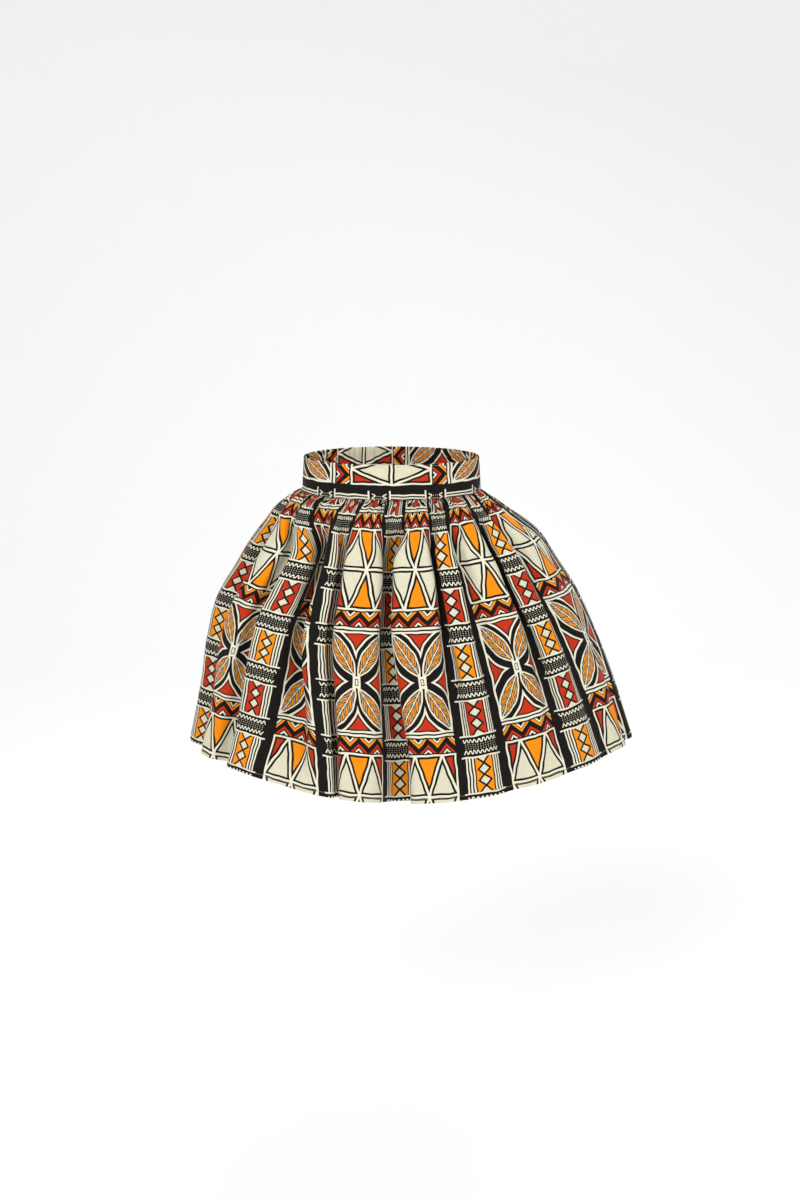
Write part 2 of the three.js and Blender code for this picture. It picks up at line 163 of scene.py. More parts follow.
def read_table(rows: Array, at: Array) -> Array:
    """A smooth curve through a table's rows, by the cubic Hermite formula.

    Each row's slope is the mean of its two neighbours' slopes, each weighted by the other's step.

    Args:
        rows: The table, with the place of each row in its first column.
        at: Places to read it at.

    Returns:
        The table's columns at those places, in a last axis.
    """
    place = rows[:, 0]
    step = np.diff(place)
    rise = np.diff(rows, axis=0) / step[:, None]
    slope = np.empty_like(rows)
    slope[0], slope[-1] = rise[0], rise[-1]
    weight = step[:-1] + step[1:]
    slope[1:-1] = (rise[:-1] * step[1:, None] + rise[1:] * step[:-1, None]) / weight[:, None]
    i = np.clip(np.searchsorted(place, at, side="right") - 1, 0, len(place) - 2)
    t = ((at - place[i]) / step[i])[..., None]
    length = step[i][..., None]
    return (
        rows[i] * (2 * t**3 - 3 * t**2 + 1)
        + slope[i] * length * (t**3 - 2 * t**2 + t)
        + rows[i + 1] * (3 * t**2 - 2 * t**3)
        + slope[i + 1] * length * (t**3 - t**2)
    )


def unit(vectors: Array) -> Array:
    """Vectors in the last axis, each divided by its length."""
    return vectors / np.maximum(np.linalg.norm(vectors, axis=-1, keepdims=True), 1e-9)


def grid_normals(points: Array) -> Array:
    """Outward normals of a grid: the step down the grid crossed with the step to the right."""
    down = np.gradient(points, axis=0)
    across = np.gradient(points, axis=1)
    return unit(np.cross(down, across))


def towards_axis(points: Array) -> Array:
    """Level unit vectors from points to the skirt's upright axis."""
    level = -points.copy()
    level[..., 2] = 0.0
    return unit(level)


# ---- The skirt's outside form ---------------------------------------------------------------------
def envelope(turn: Array, cloth: Array) -> Array:
    """The round of the skirt with no folds: a squared-off oval that widens and drops down the cloth.

    Across is half the width times the sine of the turn. Fore and aft is the depth times what the oval
    |across|^n + |along|^n = 1 leaves. The drop goes from the side's to the middle's as along to
    the fourth, less the tilt times across.

    Args:
        turn: Angles round the body, degrees.
        cloth: Cloth distances below the waist seam.

    Returns:
        Points, millimetres, in a last axis.
    """
    turn, cloth = np.broadcast_arrays(turn, cloth)
    columns = np.moveaxis(read_table(SECTIONS, cloth), -1, 0)
    section = dict(zip(SECTION_COLUMNS, columns, strict=True))
    across = np.sin(np.radians(turn))
    in_front = np.cos(np.radians(turn)) > 0
    square = section["square"]
    along = np.maximum(0.0, 1.0 - np.abs(across) ** square) ** (1.0 / square)
    depth = np.where(in_front, section["front"], -section["back"])
    middle_drop = np.where(in_front, section["drop_front"], section["drop_back"])
    drop = mix(section["drop_side"], middle_drop, along**4)
    x = section["swing"] + section["half_width"] * across
    z = section["tilt"] * across - BAND_HEIGHT / 2 - SEAM_GAP - drop
    return np.stack([x, -depth * along, z], axis=-1)


# ---- Folds --------------------------------------------------------------------------------------
@dataclass(frozen=True)
class FoldShape:
    """How cloth folds between two crests: how far it may lie flat, sharpen, lean and tip."""

    steps: int = 96
    max_reach: float = 0.995
    sharp_reach: float = 0.3
    narrowest: float = 0.5
    lean_share: float = 0.45
    seam_tip: float = 0.3
    free_tip: float = 1.9
    free_at: float = 105.0

    def tip_limit(self, cloth: Array) -> Array:
        """The most that a flank may tip, radians: little at the waist seam, and freely below it."""
        return mix(self.seam_tip, self.free_tip, ease(cloth / self.free_at))

    def profiles(
        self, chord: Array, cloth: Array, valley: Array, sharp: Array, tip_limit: Array
    ) -> Array:
        """The run of the cloth between two crests, for many folds at once.

        The cloth leaves the first crest flat, tips inwards by an angle that swells and dies as a sine
        along the first flank, turns at the valley and comes back likewise. The sum of the tipped steps
        gives its path, which is turned and scaled to end on the second crest. A mean step along is
        the Bessel function J0 of the tip, and a mean step inwards the Struve function H0, as series.

        Args:
            chord: Straight distances between the crests.
            cloth: Cloth lengths between them.
            valley: The share of the cloth at which the valley lies.
            sharp: 0 for a soft wave, 1 for broad crests with a narrow valley.
            tip_limit: The most that a flank may tip, radians.

        Returns:
            Shares of the chord and shares inwards at even steps of cloth, as (..., steps + 1, 2).
        """
        reach = np.minimum(chord / cloth, self.max_reach)
        narrow = np.clip((1 - reach) / (1 - self.sharp_reach), self.narrowest, 1)
        share = mix(1.0, narrow, sharp)
        spare = (1 - reach) / share
        tip = np.minimum(2 * np.sqrt(spare) * (1 + 0.14 * spare + 0.06 * spare**2), tip_limit)
        along = 1 - tip**2 / 4 + tip**4 / 64 - tip**6 / 2304 + tip**8 / 147456
        inwards = tip - tip**3 / 9 + tip**5 / 225 - tip**7 / 11025 + tip**9 / 893025
        inwards = inwards * (2 / math.pi)
        length = np.hypot(along, inwards)
        lean = 0.5 * (along / length) ** 2 * self.lean_share
        middle = 0.5 + np.clip(valley - 0.5, -lean, lean)
        first, second = length * middle, length * (1 - middle)
        even = np.arctan2(inwards, along)
        first_tip = tip * self._corner(first, second, along) / even
        second_tip = tip * self._corner(second, first, along) / even
        start = (1 - share) * middle
        q = (np.arange(self.steps) + 0.5) / self.steps
        r = (q - start[..., None]) / share[..., None]
        turn_at = middle[..., None]
        falling = first_tip[..., None] * np.sin(math.pi * r / turn_at)
        rising = -second_tip[..., None] * np.sin(math.pi * (r - turn_at) / (1 - turn_at))
        angle = np.where((r <= 0) | (r >= 1), 0.0, np.where(r < turn_at, falling, rising))
        path = np.zeros((*angle.shape[:-1], self.steps + 1, 2))
        path[..., 1:, 0] = np.cumsum(np.cos(angle), axis=-1) / self.steps
        path[..., 1:, 1] = np.cumsum(np.sin(angle), axis=-1) / self.steps
        end = path[..., -1:, :].copy()
        level = end[..., 1] * np.linspace(0, 1, self.steps + 1)
        path[..., 1] -= level
        return path / end[..., :1]

    @staticmethod
    def _corner(near: Array, far: Array, along: Array) -> Array:
        """The angle between the chord and the near flank, in the triangle of the two flanks."""
        return np.arccos(np.clip((near**2 + along**2 - far**2) / (2 * near * along), -1, 1))


@dataclass(frozen=True)
class Crease:
    """One soft trough or ridge laid on a panel, from one cloth place to another.

    It runs from (s0, v0) to (s1, v1), bows sideways by `bow`, fades at both ends, and pushes the cloth
    out by `height`, or in where that is negative, over `width` to each side.
    """

    s0: float
    v0: float
    s1: float
    v1: float
    width: float
    height: float
    bow: float = 0.0

    def relief(self, s: Array, v: Array) -> Array:
        """How far the crease moves the cloth out: a bell across it times a sine bump along it."""
        run = np.array([self.s1 - self.s0, self.v1 - self.v0])
        length = float(np.hypot(*run))
        e = run / length
        along = ((s - self.s0) * e[0] + (v - self.v0) * e[1]) / length
        inside = np.clip(along, 0, 1)
        bowed = self.bow * np.sin(math.pi * inside)
        across = (s - self.s0) * -e[1] + (v - self.v0) * e[0] - bowed
        bell = np.exp(-((across / self.width) ** 2))
        return self.height * bell * np.sin(math.pi * inside) ** FULL_SINE


# ---- Meshes -------------------------------------------------------------------------------------
@dataclass
class WallMesh:
    """A closed shell made of an outer and an inner grid of points, with rims that join them."""

    outer: Array
    inner: Array
    uv: Array

    def faces(self) -> NDArray[np.int64]:
        """Vertex numbers of each four-sided face, facing out of the cloth on every side."""
        rows, columns = self.outer.shape[:2]
        number = np.arange(rows * columns).reshape(rows, columns)
        far = number + rows * columns
        a, b, c, d = number[:-1, :-1], number[1:, :-1], number[1:, 1:], number[:-1, 1:]
        e, f, g, h = far[:-1, :-1], far[1:, :-1], far[1:, 1:], far[:-1, 1:]
        parts = [np.stack([a, b, c, d], -1), np.stack([e, h, g, f], -1)]
        parts.append(np.stack([number[0, :-1], number[0, 1:], far[0, 1:], far[0, :-1]], -1))
        parts.append(np.stack([number[-1, :-1], far[-1, :-1], far[-1, 1:], number[-1, 1:]], -1))
        parts.append(np.stack([number[:-1, 0], far[:-1, 0], far[1:, 0], number[1:, 0]], -1))
        parts.append(np.stack([number[:-1, -1], number[1:, -1], far[1:, -1], far[:-1, -1]], -1))
        return np.concatenate([part.reshape(-1, 4) for part in parts])

    def build(self, name: str, material: bpy.types.Material) -> bpy.types.Object:
        """Puts the shell into the scene, in metres, with its cloth coordinates as its UV map."""
        points = np.concatenate([self.outer.reshape(-1, 3), self.inner.reshape(-1, 3)])
        uv = np.concatenate([self.uv.reshape(-1, 2)] * 2)
        return mesh_object(name, points, self.faces(), material, uv)


def mesh_object(
    name: str,
    points: Array,
    faces: NDArray[np.int64],
    material: bpy.types.Material,
    uv: Array | None = None,
    sharp_degrees: float = 50.0,
) -> bpy.types.Object:
    """Makes a mesh object at the origin from whole arrays.

    Args:
        name: The piece's name.
        points: Its vertices, millimetres.
        faces: Vertex numbers, one row of three or four for each face.
        material: Its finish.
        uv: Cloth coordinates of the vertices, millimetres, stored in metres.
        sharp_degrees: Edges sharper than this are shaded as edges.

    Returns:
        The object, linked to the scene.
    """
    mesh = bpy.data.meshes.new(name)
    count, sides = faces.shape
    mesh.vertices.add(len(points))
    mesh.vertices.foreach_set("co", (points * METRES).astype(np.float32).ravel())
    mesh.loops.add(count * sides)
    mesh.loops.foreach_set("vertex_index", faces.astype(np.int32).ravel())
    mesh.polygons.add(count)
    mesh.polygons.foreach_set("loop_start", np.arange(0, count * sides, sides, dtype=np.int32))
    mesh.polygons.foreach_set("use_smooth", np.ones(count, dtype=bool))
    if uv is not None:
        layer = mesh.uv_layers.new(name="cloth")
        layer.data.foreach_set("uv", (uv[faces.ravel()] * METRES).astype(np.float32).ravel())
    mesh.update(calc_edges=True)
    mesh.set_sharp_from_angle(angle=math.radians(sharp_degrees))
    mesh.materials.append(material)
    obj = bpy.data.objects.new(name, mesh)
    bpy.context.scene.collection.objects.link(obj)
    return obj


def wall_about(middle: Array, normals: Array, uv: Array, inside: Array | float = 0.0) -> WallMesh:
    """A wall half the cloth's thickness to each side of a middle surface, and more inside if told."""
    half = CLOTH_THICKNESS / 2
    return WallMesh(middle + normals * half, middle - normals * (half + inside), uv)


# ---- Node building ------------------------------------------------------------------------------
class Field:
    """A number that changes over the surface: a socket in a node tree, with the usual sums.

    Each sum adds one Math node to the tree, so a pattern reads as a formula.
    """

    def __init__(self, tree: bpy.types.NodeTree, socket: bpy.types.NodeSocket) -> None:
        """Keeps the tree and the socket."""
        self.tree = tree
        self.socket = socket

    def math(self, operation: str, *others: Field | float, clamp: bool = False) -> Field:
        """One Math node of that operation on this field and the others."""
        node = self.tree.nodes.new("ShaderNodeMath")
        node.operation = operation
        node.use_clamp = clamp
        for socket, value in zip(node.inputs, (self, *others)):
            if isinstance(value, Field):
                self.tree.links.new(value.socket, socket)
            else:
                socket.default_value = value
        return Field(self.tree, node.outputs[0])

    def __add__(self, other: Field | float) -> Field:
        """This plus other."""
        return self.math("ADD", other)

    def __sub__(self, other: Field | float) -> Field:
        """This less other."""
        return self.math("SUBTRACT", other)

    def __mul__(self, other: Field | float) -> Field:
        """This times other."""
        return self.math("MULTIPLY", other)

    def __rsub__(self, other: float) -> Field:
        """The number other less this."""
        return self.math("MULTIPLY_ADD", -1.0, other)

    def __neg__(self) -> Field:
        """This with its sign turned."""
        return self.math("MULTIPLY", -1.0)

    def __abs__(self) -> Field:
        """This without its sign."""
        return self.math("ABSOLUTE")

    def times_plus(self, factor: Field | float, term: Field | float) -> Field:
        """This times factor, plus term."""
        return self.math("MULTIPLY_ADD", factor, term)

    def least(self, other: Field | float) -> Field:
        """The smaller of the two."""
        return self.math("MINIMUM", other)

    def most(self, other: Field | float) -> Field:
        """The larger of the two."""
        return self.math("MAXIMUM", other)

    def repeat(self, period: float) -> Field:
        """This less the whole periods in it, from 0 up to the period."""
        return self.math("FLOORED_MODULO", period)

    def below(self, limit: float, soft: float = 0.35) -> Field:
        """A mask: 1 where this is under the limit, 0 above it, with an edge that wide."""
        return self.math("MULTIPLY_ADD", -1.0 / soft, limit / soft + 0.5, clamp=True)

    def between(self, low: float, high: float) -> Field:
        """A mask: 1 where this is from low to high."""
        half = (high - low) / 2
        return abs(self - (low + half)).below(half)


class Ink:
    """A colour that changes over the surface, painted over by others in order."""

    def __init__(self, tree: bpy.types.NodeTree, socket: bpy.types.NodeSocket) -> None:
        """Keeps the tree and the colour's socket."""
        self.tree = tree
        self.socket = socket

    def over(self, mask: Field, colour: Ink) -> Ink:
        """This, painted over with the colour where the mask is 1."""
        node = self.tree.nodes.new("ShaderNodeMix")
        node.data_type = "RGBA"
        self.tree.links.new(mask.socket, node.inputs["Factor"])
        self.tree.links.new(self.socket, node.inputs[6])
        self.tree.links.new(colour.socket, node.inputs[7])
        return Ink(self.tree, node.outputs[2])


class SocketKind(Enum):
    """The kinds of socket that a node group here takes or gives."""

    NUMBER = "NodeSocketFloat"
    COLOUR = "NodeSocketColor"
    VECTOR = "NodeSocketVector"


@dataclass
class GroupDraft:
    """A shader node group being written: its tree, and its inputs and outputs by name."""

    name: str
    inputs: dict[str, SocketKind]
    outputs: dict[str, SocketKind]

    def __post_init__(self) -> None:
        """Makes the empty group with its sockets."""
        self.tree = bpy.data.node_groups.new(self.name, "ShaderNodeTree")
        for direction, sockets in (("INPUT", self.inputs), ("OUTPUT", self.outputs)):
            for label, kind in sockets.items():
                self.tree.interface.new_socket(name=label, in_out=direction, socket_type=kind.value)
        self._in = self.tree.nodes.new("NodeGroupInput")
        self._out = self.tree.nodes.new("NodeGroupOutput")

    def input(self, label: str) -> bpy.types.NodeSocket:
        """The input of that name."""
        return self._in.outputs[label]

    def field(self, label: str) -> Field:
        """The input number of that name."""
        return Field(self.tree, self.input(label))

    def ink(self, label: str) -> Ink:
        """The input colour of that name."""
        return Ink(self.tree, self.input(label))

    def give(self, label: str, value: Field | Ink) -> None:
        """Joins a value to the output of that name."""
        self.tree.links.new(value.socket, self._out.inputs[label])

    def place(self, tree: bpy.types.NodeTree, **links: bpy.types.NodeSocket) -> bpy.types.Node:
        """Puts this group into another tree.

        Args:
            tree: The tree that takes it.
            links: Sockets for the group's inputs, by their names in lower case.

        Returns:
            The group's node.
        """
        node = tree.nodes.new("ShaderNodeGroup")
        node.node_tree = self.tree
        for label in self.inputs:
            if label.lower() in links:
                tree.links.new(links[label.lower()], node.inputs[label])
        return node


def noise(
    tree: bpy.types.NodeTree,
    vector: bpy.types.NodeSocket,
    scale: float,
    detail: float,
    dimensions: str = "2D",
) -> bpy.types.Node:
    """A Noise Texture node on a vector."""
    node = tree.nodes.new("ShaderNodeTexNoise")
    node.noise_dimensions = dimensions
    node.inputs["Scale"].default_value = scale
    node.inputs["Detail"].default_value = detail
    tree.links.new(vector, node.inputs["Vector"])
    return node


def vector_times_plus(
    tree: bpy.types.NodeTree,
    vector: bpy.types.NodeSocket,
    factor: Triple,
    term: bpy.types.NodeSocket | Triple,
) -> bpy.types.NodeSocket:
    """A vector times a factor, plus a term, part by part."""
    node = tree.nodes.new("ShaderNodeVectorMath")
    node.operation = "MULTIPLY_ADD"
    tree.links.new(vector, node.inputs[0])
    node.inputs[1].default_value = factor
    if isinstance(term, bpy.types.NodeSocket):
        tree.links.new(term, node.inputs[2])
    else:
        node.inputs[2].default_value = term
    return node.outputs[0]


def across_and_down(
    tree: bpy.types.NodeTree, vector: bpy.types.NodeSocket
) -> tuple[Field, Field]:
    """The first two parts of a vector."""
    split = tree.nodes.new("ShaderNodeSeparateXYZ")
    tree.links.new(vector, split.inputs[0])
    return Field(tree, split.outputs[0]), Field(tree, split.outputs[1])


# ---- The print ----------------------------------------------------------------------------------
INK_NAMES = ("Black", "Cream", "Line", "Orange", "Red")


@dataclass(frozen=True)
class Inks:
    """The print's colours, as scene-linear red, green and blue."""

    black: Triple = (0.0045, 0.0032, 0.0028)
    cream: Triple = (0.585, 0.555, 0.41)
    line: Triple = (0.68, 0.65, 0.51)
    orange: Triple = (0.75, 0.225, 0.0015)
    red: Triple = (0.44, 0.025, 0.004)

    def sockets(self, tree: bpy.types.NodeTree) -> dict[str, bpy.types.NodeSocket]:
        """A colour node in the tree for each ink, by its name in lower case."""
        found = {}
        for name in INK_NAMES:
            node = tree.nodes.new("ShaderNodeRGB")
            node.outputs[0].default_value = (*getattr(self, name.lower()), 1.0)
            found[name.lower()] = node.outputs[0]
        return found


class Motif:
    """A part of the print. Sizes are millimetres of cloth, and a line is given by half its width."""

    @staticmethod
    def draft(name: str, **values: SocketKind) -> GroupDraft:
        """A group that takes those values and the five inks and gives a colour."""
        inks = dict.fromkeys(INK_NAMES, SocketKind.COLOUR)
        return GroupDraft(name, {**values, **inks}, {"Color": SocketKind.COLOUR})

    def group(self) -> GroupDraft:
        """The motif's node group."""
        raise NotImplementedError


@dataclass(frozen=True)
class TrianglePanel(Motif):
    """A panel of triangles, mirrored both ways.

    Lines run from the middle, and from the middle of each side, to two points on the top and the
    bottom edge, each `foot` from the middle. A cream line lies on a wider black one. Red fills the
    corners, orange the top and bottom triangles, and cream the rest.
    """

    half_width: float = 45.0
    half_height: float = 64.5
    foot: float = 20.7
    edge_line_at: float = 1.2
    black_line: float = 4.9
    cream_line: float = 1.65

    def group(self) -> GroupDraft:
        """The panel, by unsigned distances across and down from its middle."""
        group = self.draft("triangle_panel", X=SocketKind.NUMBER, Y=SocketKind.NUMBER)
        x, y = group.field("X"), group.field("Y")
        half, tall, run = self.half_width, self.half_height, self.half_width - self.foot
        length = math.hypot(tall, self.foot)
        inner = x * (tall / length) - y * (self.foot / length)
        length = math.hypot(tall, run)
        outer = (x - half) * (tall / length) + y * (run / length)
        colour = group.ink("Cream").over(inner.below(0), group.ink("Orange"))
        colour = colour.over((-outer).below(0), group.ink("Red"))
        frame = (half - x).least(tall - y) - self.edge_line_at
        lines = abs(inner).least(abs(outer)).least(y).least(frame)
        colour = colour.over(lines.below(self.black_line), group.ink("Black"))
        colour = colour.over(lines.below(self.cream_line), group.ink("Line"))
        group.give("Color", colour)
        return group


@dataclass(frozen=True)
class ZigzagBand(Motif):
    """A band of nested zigzags: stripes of the height less the slope times the folded across."""

    height: float = 26.9
    pitch: float = 30.0
    slope: float = 1.05
    margin: float = 2.1
    low_cream: Span = (-8.9, -5.7)
    high_cream: Span = (18.2, 21.5)
    orange: Span = (-4.2, 0.8)
    red: Span = (10.6, 15.6)

    def group(self) -> GroupDraft:
        """The band, by the unsigned distance across its column and the height in it."""
        group = self.draft("zigzag_band", X=SocketKind.NUMBER, Y=SocketKind.NUMBER)
        y, middle = group.field("Y"), self.height / 2
        rise = y - group.field("X").math("PINGPONG", self.pitch / 2) * self.slope
        inside = abs(y - middle).below(middle - self.margin)
        cream = rise.between(*self.low_cream).most(rise.between(*self.high_cream))
        colour = group.ink("Black").over(cream * inside, group.ink("Line"))
        colour = colour.over(rise.between(*self.orange) * inside, group.ink("Orange"))
        colour = colour.over(rise.between(*self.red) * inside, group.ink("Red"))
        group.give("Color", colour)
        return group


@dataclass(frozen=True)
class LeafFlower(Motif):
    """A flower of four leaves that point to the panel's corners, mirrored both ways.

    A leaf is where two circles overlap. Its outline and midrib are cream, and slanted orange
    lozenges fill it. Four red triangles with hollowed sides stand between the leaves, each side an
    arc, given by its centre and its radius. A small box marks the middle.
    """

    half_width: float = 45.0
    half_height: float = 80.2
    leaf_base: Span = (2.0, 8.0)
    leaf_tip: Span = (43.0, 77.5)
    leaf_half: float = 13.8
    leaf_margin: float = 2.3
    midrib: float = 0.8
    lozenge_pitch: float = 12.4
    lozenge_half: float = 5.6
    lozenge_slant: float = 1.6
    lozenge_outline: float = 1.3
    top_arc: Triple = (58.8, 26.0, 59.8)
    top_from: float = 30.0
    side_arc: Triple = (-13.8, 55.1, 61.0)
    side_to: float = 46.0
    triangle_line_to: float = 3.0
    triangle_black_to: float = 5.3
    frame_line_to: float = 3.0
    frame_black_to: float = 5.1
    hub: Span = (6.2, 9.5)
    box: Span = (2.8, 5.2)
    box_line_at: float = 0.6
    box_line: float = 0.65

    def group(self) -> GroupDraft:
        """The flower, by unsigned distances across and down from its middle."""
        group = self.draft("leaf_flower", X=SocketKind.NUMBER, Y=SocketKind.NUMBER)
        x, y = group.field("X"), group.field("Y")
        line, black = group.ink("Line"), group.ink("Black")
        top = beyond_circle(x, y, *self.top_arc).least(y - self.top_from)
        side = beyond_circle(x, y, *self.side_arc).least(self.side_to - y)
        hollow = -top.most(side)
        frame = (self.half_width - x).least(self.half_height - y)
        colour = black.over(hollow.below(0.0), line)
        within = hollow.below(-self.triangle_line_to)
        colour = colour.over(within, black)
        colour = colour.over(hollow.below(-self.triangle_black_to), group.ink("Red"))
        colour = colour.over(frame.below(self.frame_black_to) * within, black)
        colour = colour.over(frame.below(self.frame_line_to), line)
        leaf, lozenges = self._leaf(x, y)
        colour = colour.over(leaf.below(0.0), line)
        colour = colour.over(lozenges.below(0.0), black)
        colour = colour.over(lozenges.below(-self.lozenge_outline), group.ink("Orange"))
        hub = (x - self.hub[0]).most(y - self.hub[1])
        colour = colour.over(hub.below(0.0), line)
        box = (x - self.box[0]).most(y - self.box[1])
        colour = colour.over(abs(box + self.box_line_at).below(self.box_line), black)
        group.give("Color", colour)
        return group

    def _leaf(self, x: Field, y: Field) -> tuple[Field, Field]:
        """How far a point is outside a leaf, and outside the nearest of its lozenges.

        Lozenges slant outwards to the leaf's tip: they repeat with the distance along the leaf less
        the slant times the distance aside from its midrib.
        """
        base, tip = self.leaf_base, self.leaf_tip
        length = math.dist(base, tip)
        ex, ey = (tip[0] - base[0]) / length, (tip[1] - base[1]) / length
        along = x * ex + y * ey - (base[0] * ex + base[1] * ey)
        aside = abs(x * ey - y * ex - (base[0] * ey - base[1] * ex))
        radius = (self.leaf_half**2 + (length / 2) ** 2) / (2 * self.leaf_half)
        leaf = beyond_circle(along, aside, length / 2, self.leaf_half - radius, radius)
        beat = (along - aside * self.lozenge_slant).repeat(self.lozenge_pitch)
        lozenge = abs(beat - self.lozenge_pitch / 2) - self.lozenge_half
        lozenge = lozenge * (1.0 / math.hypot(1.0, self.lozenge_slant))
        return leaf, lozenge.most(leaf + self.leaf_margin).most(self.midrib - aside)


def beyond_circle(x: Field, y: Field, centre_x: float, centre_y: float, radius: float) -> Field:
    """How far a point is outside a circle: its distance from the centre less the radius."""
    dx, dy = x - centre_x, y - centre_y
    return (dx * dx + dy * dy).math("SQRT") - radius


@dataclass(frozen=True)
class Ladder(Motif):
    """A ladder: cells of diamonds between cream stripes, parted by dark bars.

    A bar has a cream rail on its edge, a squiggle, and rows of fine dots in its middle.
    """

    half_width: float = 33.5
    bar_every: float = 88.75
    diamond_pitch: float = 17.75
    diamond_half: float = 9.3
    diamond_line: float = 1.45
    cell_half: float = 13.2
    stripe_at: float = 16.6
    stripe_pitch: float = 4.75
    stripes: Span = (15.2, 27.6)
    stripe: float = 1.2
    bar_half: float = 16.0
    rail_at: float = 16.4
    rail: float = 1.15
    squiggle_at: float = 8.8
    squiggle_pitch: float = 6.7
    squiggle_height: float = 2.0
    squiggle_line: float = 1.15
    squiggle_to: float = 28.5
    dot_spacing: Span = (2.05, 1.65)
    dot: float = 0.62
    dots: Span = (26.7, 4.4)
    dot_strength: float = 0.7

    def group(self) -> GroupDraft:
        """The ladder, by distances across its middle and down from a bar's, and its cells' ink."""
        number = SocketKind.NUMBER
        group = self.draft("ladder", X=number, Signed=number, Y=number, Cell=SocketKind.COLOUR)
        x, signed, y = group.field("X"), group.field("Signed"), group.field("Y")
        line, black = group.ink("Line"), group.ink("Black")
        from_cell = self.bar_every / 2 - y
        beat = abs(from_cell.repeat(self.diamond_pitch) - self.diamond_pitch / 2)
        across, down = 1.0 / self.diamond_half, 2.0 / self.diamond_pitch
        rhombus = (x * across + beat * down - 1.0) * (1.0 / math.hypot(across, down))
        colour = group.ink("Cell").over(rhombus.below(0.0), group.ink("Cream"))
        colour = colour.over(abs(rhombus).below(self.diamond_line), black)
        colour = colour.over((-x).below(-self.cell_half), black)
        half = self.stripe_pitch / 2
        stripes = half - abs((x - self.stripe_at).repeat(self.stripe_pitch) - half)
        stripes = stripes.most(self.stripes[0] - x).most(x - self.stripes[1])
        colour = colour.over(stripes.below(self.stripe), line)
        colour = colour.over(y.below(self.bar_half), black)
        colour = colour.over(abs(y - self.rail_at).below(self.rail), line)
        wave = (signed * (2 * math.pi / self.squiggle_pitch)).math("SINE")
        squiggle = abs(y + wave * self.squiggle_height - self.squiggle_at)
        squiggle = squiggle * abs(wave).times_plus(0.5, 0.5)  # its steep flanks stay as thin
        drawn = squiggle.below(self.squiggle_line) * x.below(self.squiggle_to)
        colour = colour.over(drawn, line)
        columns, rows = self.dot_spacing
        dots = signed.math("PINGPONG", columns).most(y.math("PINGPONG", rows)).below(self.dot)
        dots = dots * y.below(self.dots[1]) * x.below(self.dots[0])
        colour = colour.over(dots * self.dot_strength, line)
        group.give("Color", colour)
        return group


@dataclass(frozen=True)
class WaxPrint:
    """A traditional wax print of squared panels, leaf flowers and ladder bands, on cotton.

    Columns of panels alternate with ladders and repeat every `across`. Down a column a panel of
    triangles, a zigzag band, a flower of four leaves and another zigzag band follow one another
    every `down`. A cream rule parts each band from the flower. All in millimetres of cloth.
    """

    inks: Inks = Inks()
    triangles: TrianglePanel = TrianglePanel()
    zigzag: ZigzagBand = ZigzagBand()
    flower: LeafFlower = LeafFlower()
    ladder: Ladder = Ladder()
    across: float = 178.0
    down: float = 355.0
    column_at: float = 125.0
    ladder_at: float = 212.0
    triangles_at: float = 115.0
    bar_at: float = 45.0
    rule: float = 3.4
    wander: float = 2.4
    wander_scale: float = 55.0

    def group(self) -> GroupDraft:
        """The whole print: it takes cloth coordinates in metres and gives the colour there."""
        vector, colour = SocketKind.VECTOR, SocketKind.COLOUR
        group = GroupDraft("wax_print", {"Vector": vector}, {"Color": colour})
        tree = group.tree
        u, v = self._drawn_by_hand(group)
        sockets = self.inks.sockets(tree)
        inks = {name: Ink(tree, socket) for name, socket in sockets.items()}

        def motif(part: Motif, **values: Field | Ink) -> Ink:
            """The colour of a motif at those values."""
            links = {name: value.socket for name, value in values.items()}
            return Ink(tree, part.group().place(tree, **links, **sockets).outputs[0])

        half, tall = self.across / 2, self.triangles.half_height
        band_end = tall + self.zigzag.height
        x = abs((u - (self.column_at - half)).repeat(self.across) - half)
        drop = (v - (self.triangles_at - self.down / 2)).repeat(self.down) - self.down / 2
        y = abs(drop)
        colour = motif(self.flower, x=x, y=self.down / 2 - y)
        colour = colour.over(y.below(self.down / 2 - self.flower.half_height), inks["black"])
        colour = colour.over(y.between(band_end, band_end + self.rule), inks["line"])
        height = (drop + band_end).repeat(band_end + tall)
        colour = colour.over(y.below(band_end), motif(self.zigzag, x=x, y=height))
        colour = colour.over(y.below(tall), motif(self.triangles, x=x, y=y))
        colour = colour.over((-x).below(-self.triangles.half_width), inks["black"])
        signed = (u - (self.ladder_at - half)).repeat(self.across) - half
        rung, every = v - self.bar_at, self.ladder.bar_every
        from_bar = abs((rung + every / 2).repeat(every) - every / 2)
        cell = inks["red"].over(rung.repeat(2 * every).below(every), inks["orange"])
        rungs = motif(self.ladder, x=abs(signed), signed=signed, y=from_bar, cell=cell)
        colour = colour.over(abs(signed).below(self.ladder.half_width), rungs)
        group.give("Color", colour)
        return group

    def _drawn_by_hand(self, group: GroupDraft) -> tuple[Field, Field]:
        """Cloth coordinates in millimetres, whose lines wander by about half a millimetre.

        Each is the metres over METRES, plus noise that is moved to lie about zero, times `wander`.
        """
        tree, vector = group.tree, group.input("Vector")
        shake = noise(tree, vector, self.wander_scale, 0.0).outputs["Color"]
        back = (-self.wander / 2, -self.wander / 2, 0.0)
        still = vector_times_plus(tree, vector, (1 / METRES, 1 / METRES, 0.0), back)
        moved = vector_times_plus(tree, shake, (self.wander, self.wander, 0.0), still)
        return across_and_down(tree, moved)


# ---- Finishes -----------------------------------------------------------------------------------
def fresh_material(name: str) -> tuple[bpy.types.Material, bpy.types.NodeTree, bpy.types.Node]:
    """A new material, with its node tree and its Principled BSDF."""
    material = bpy.data.materials.new(name)
    material.use_nodes = True
    return material, material.node_tree, material.node_tree.nodes["Principled BSDF"]


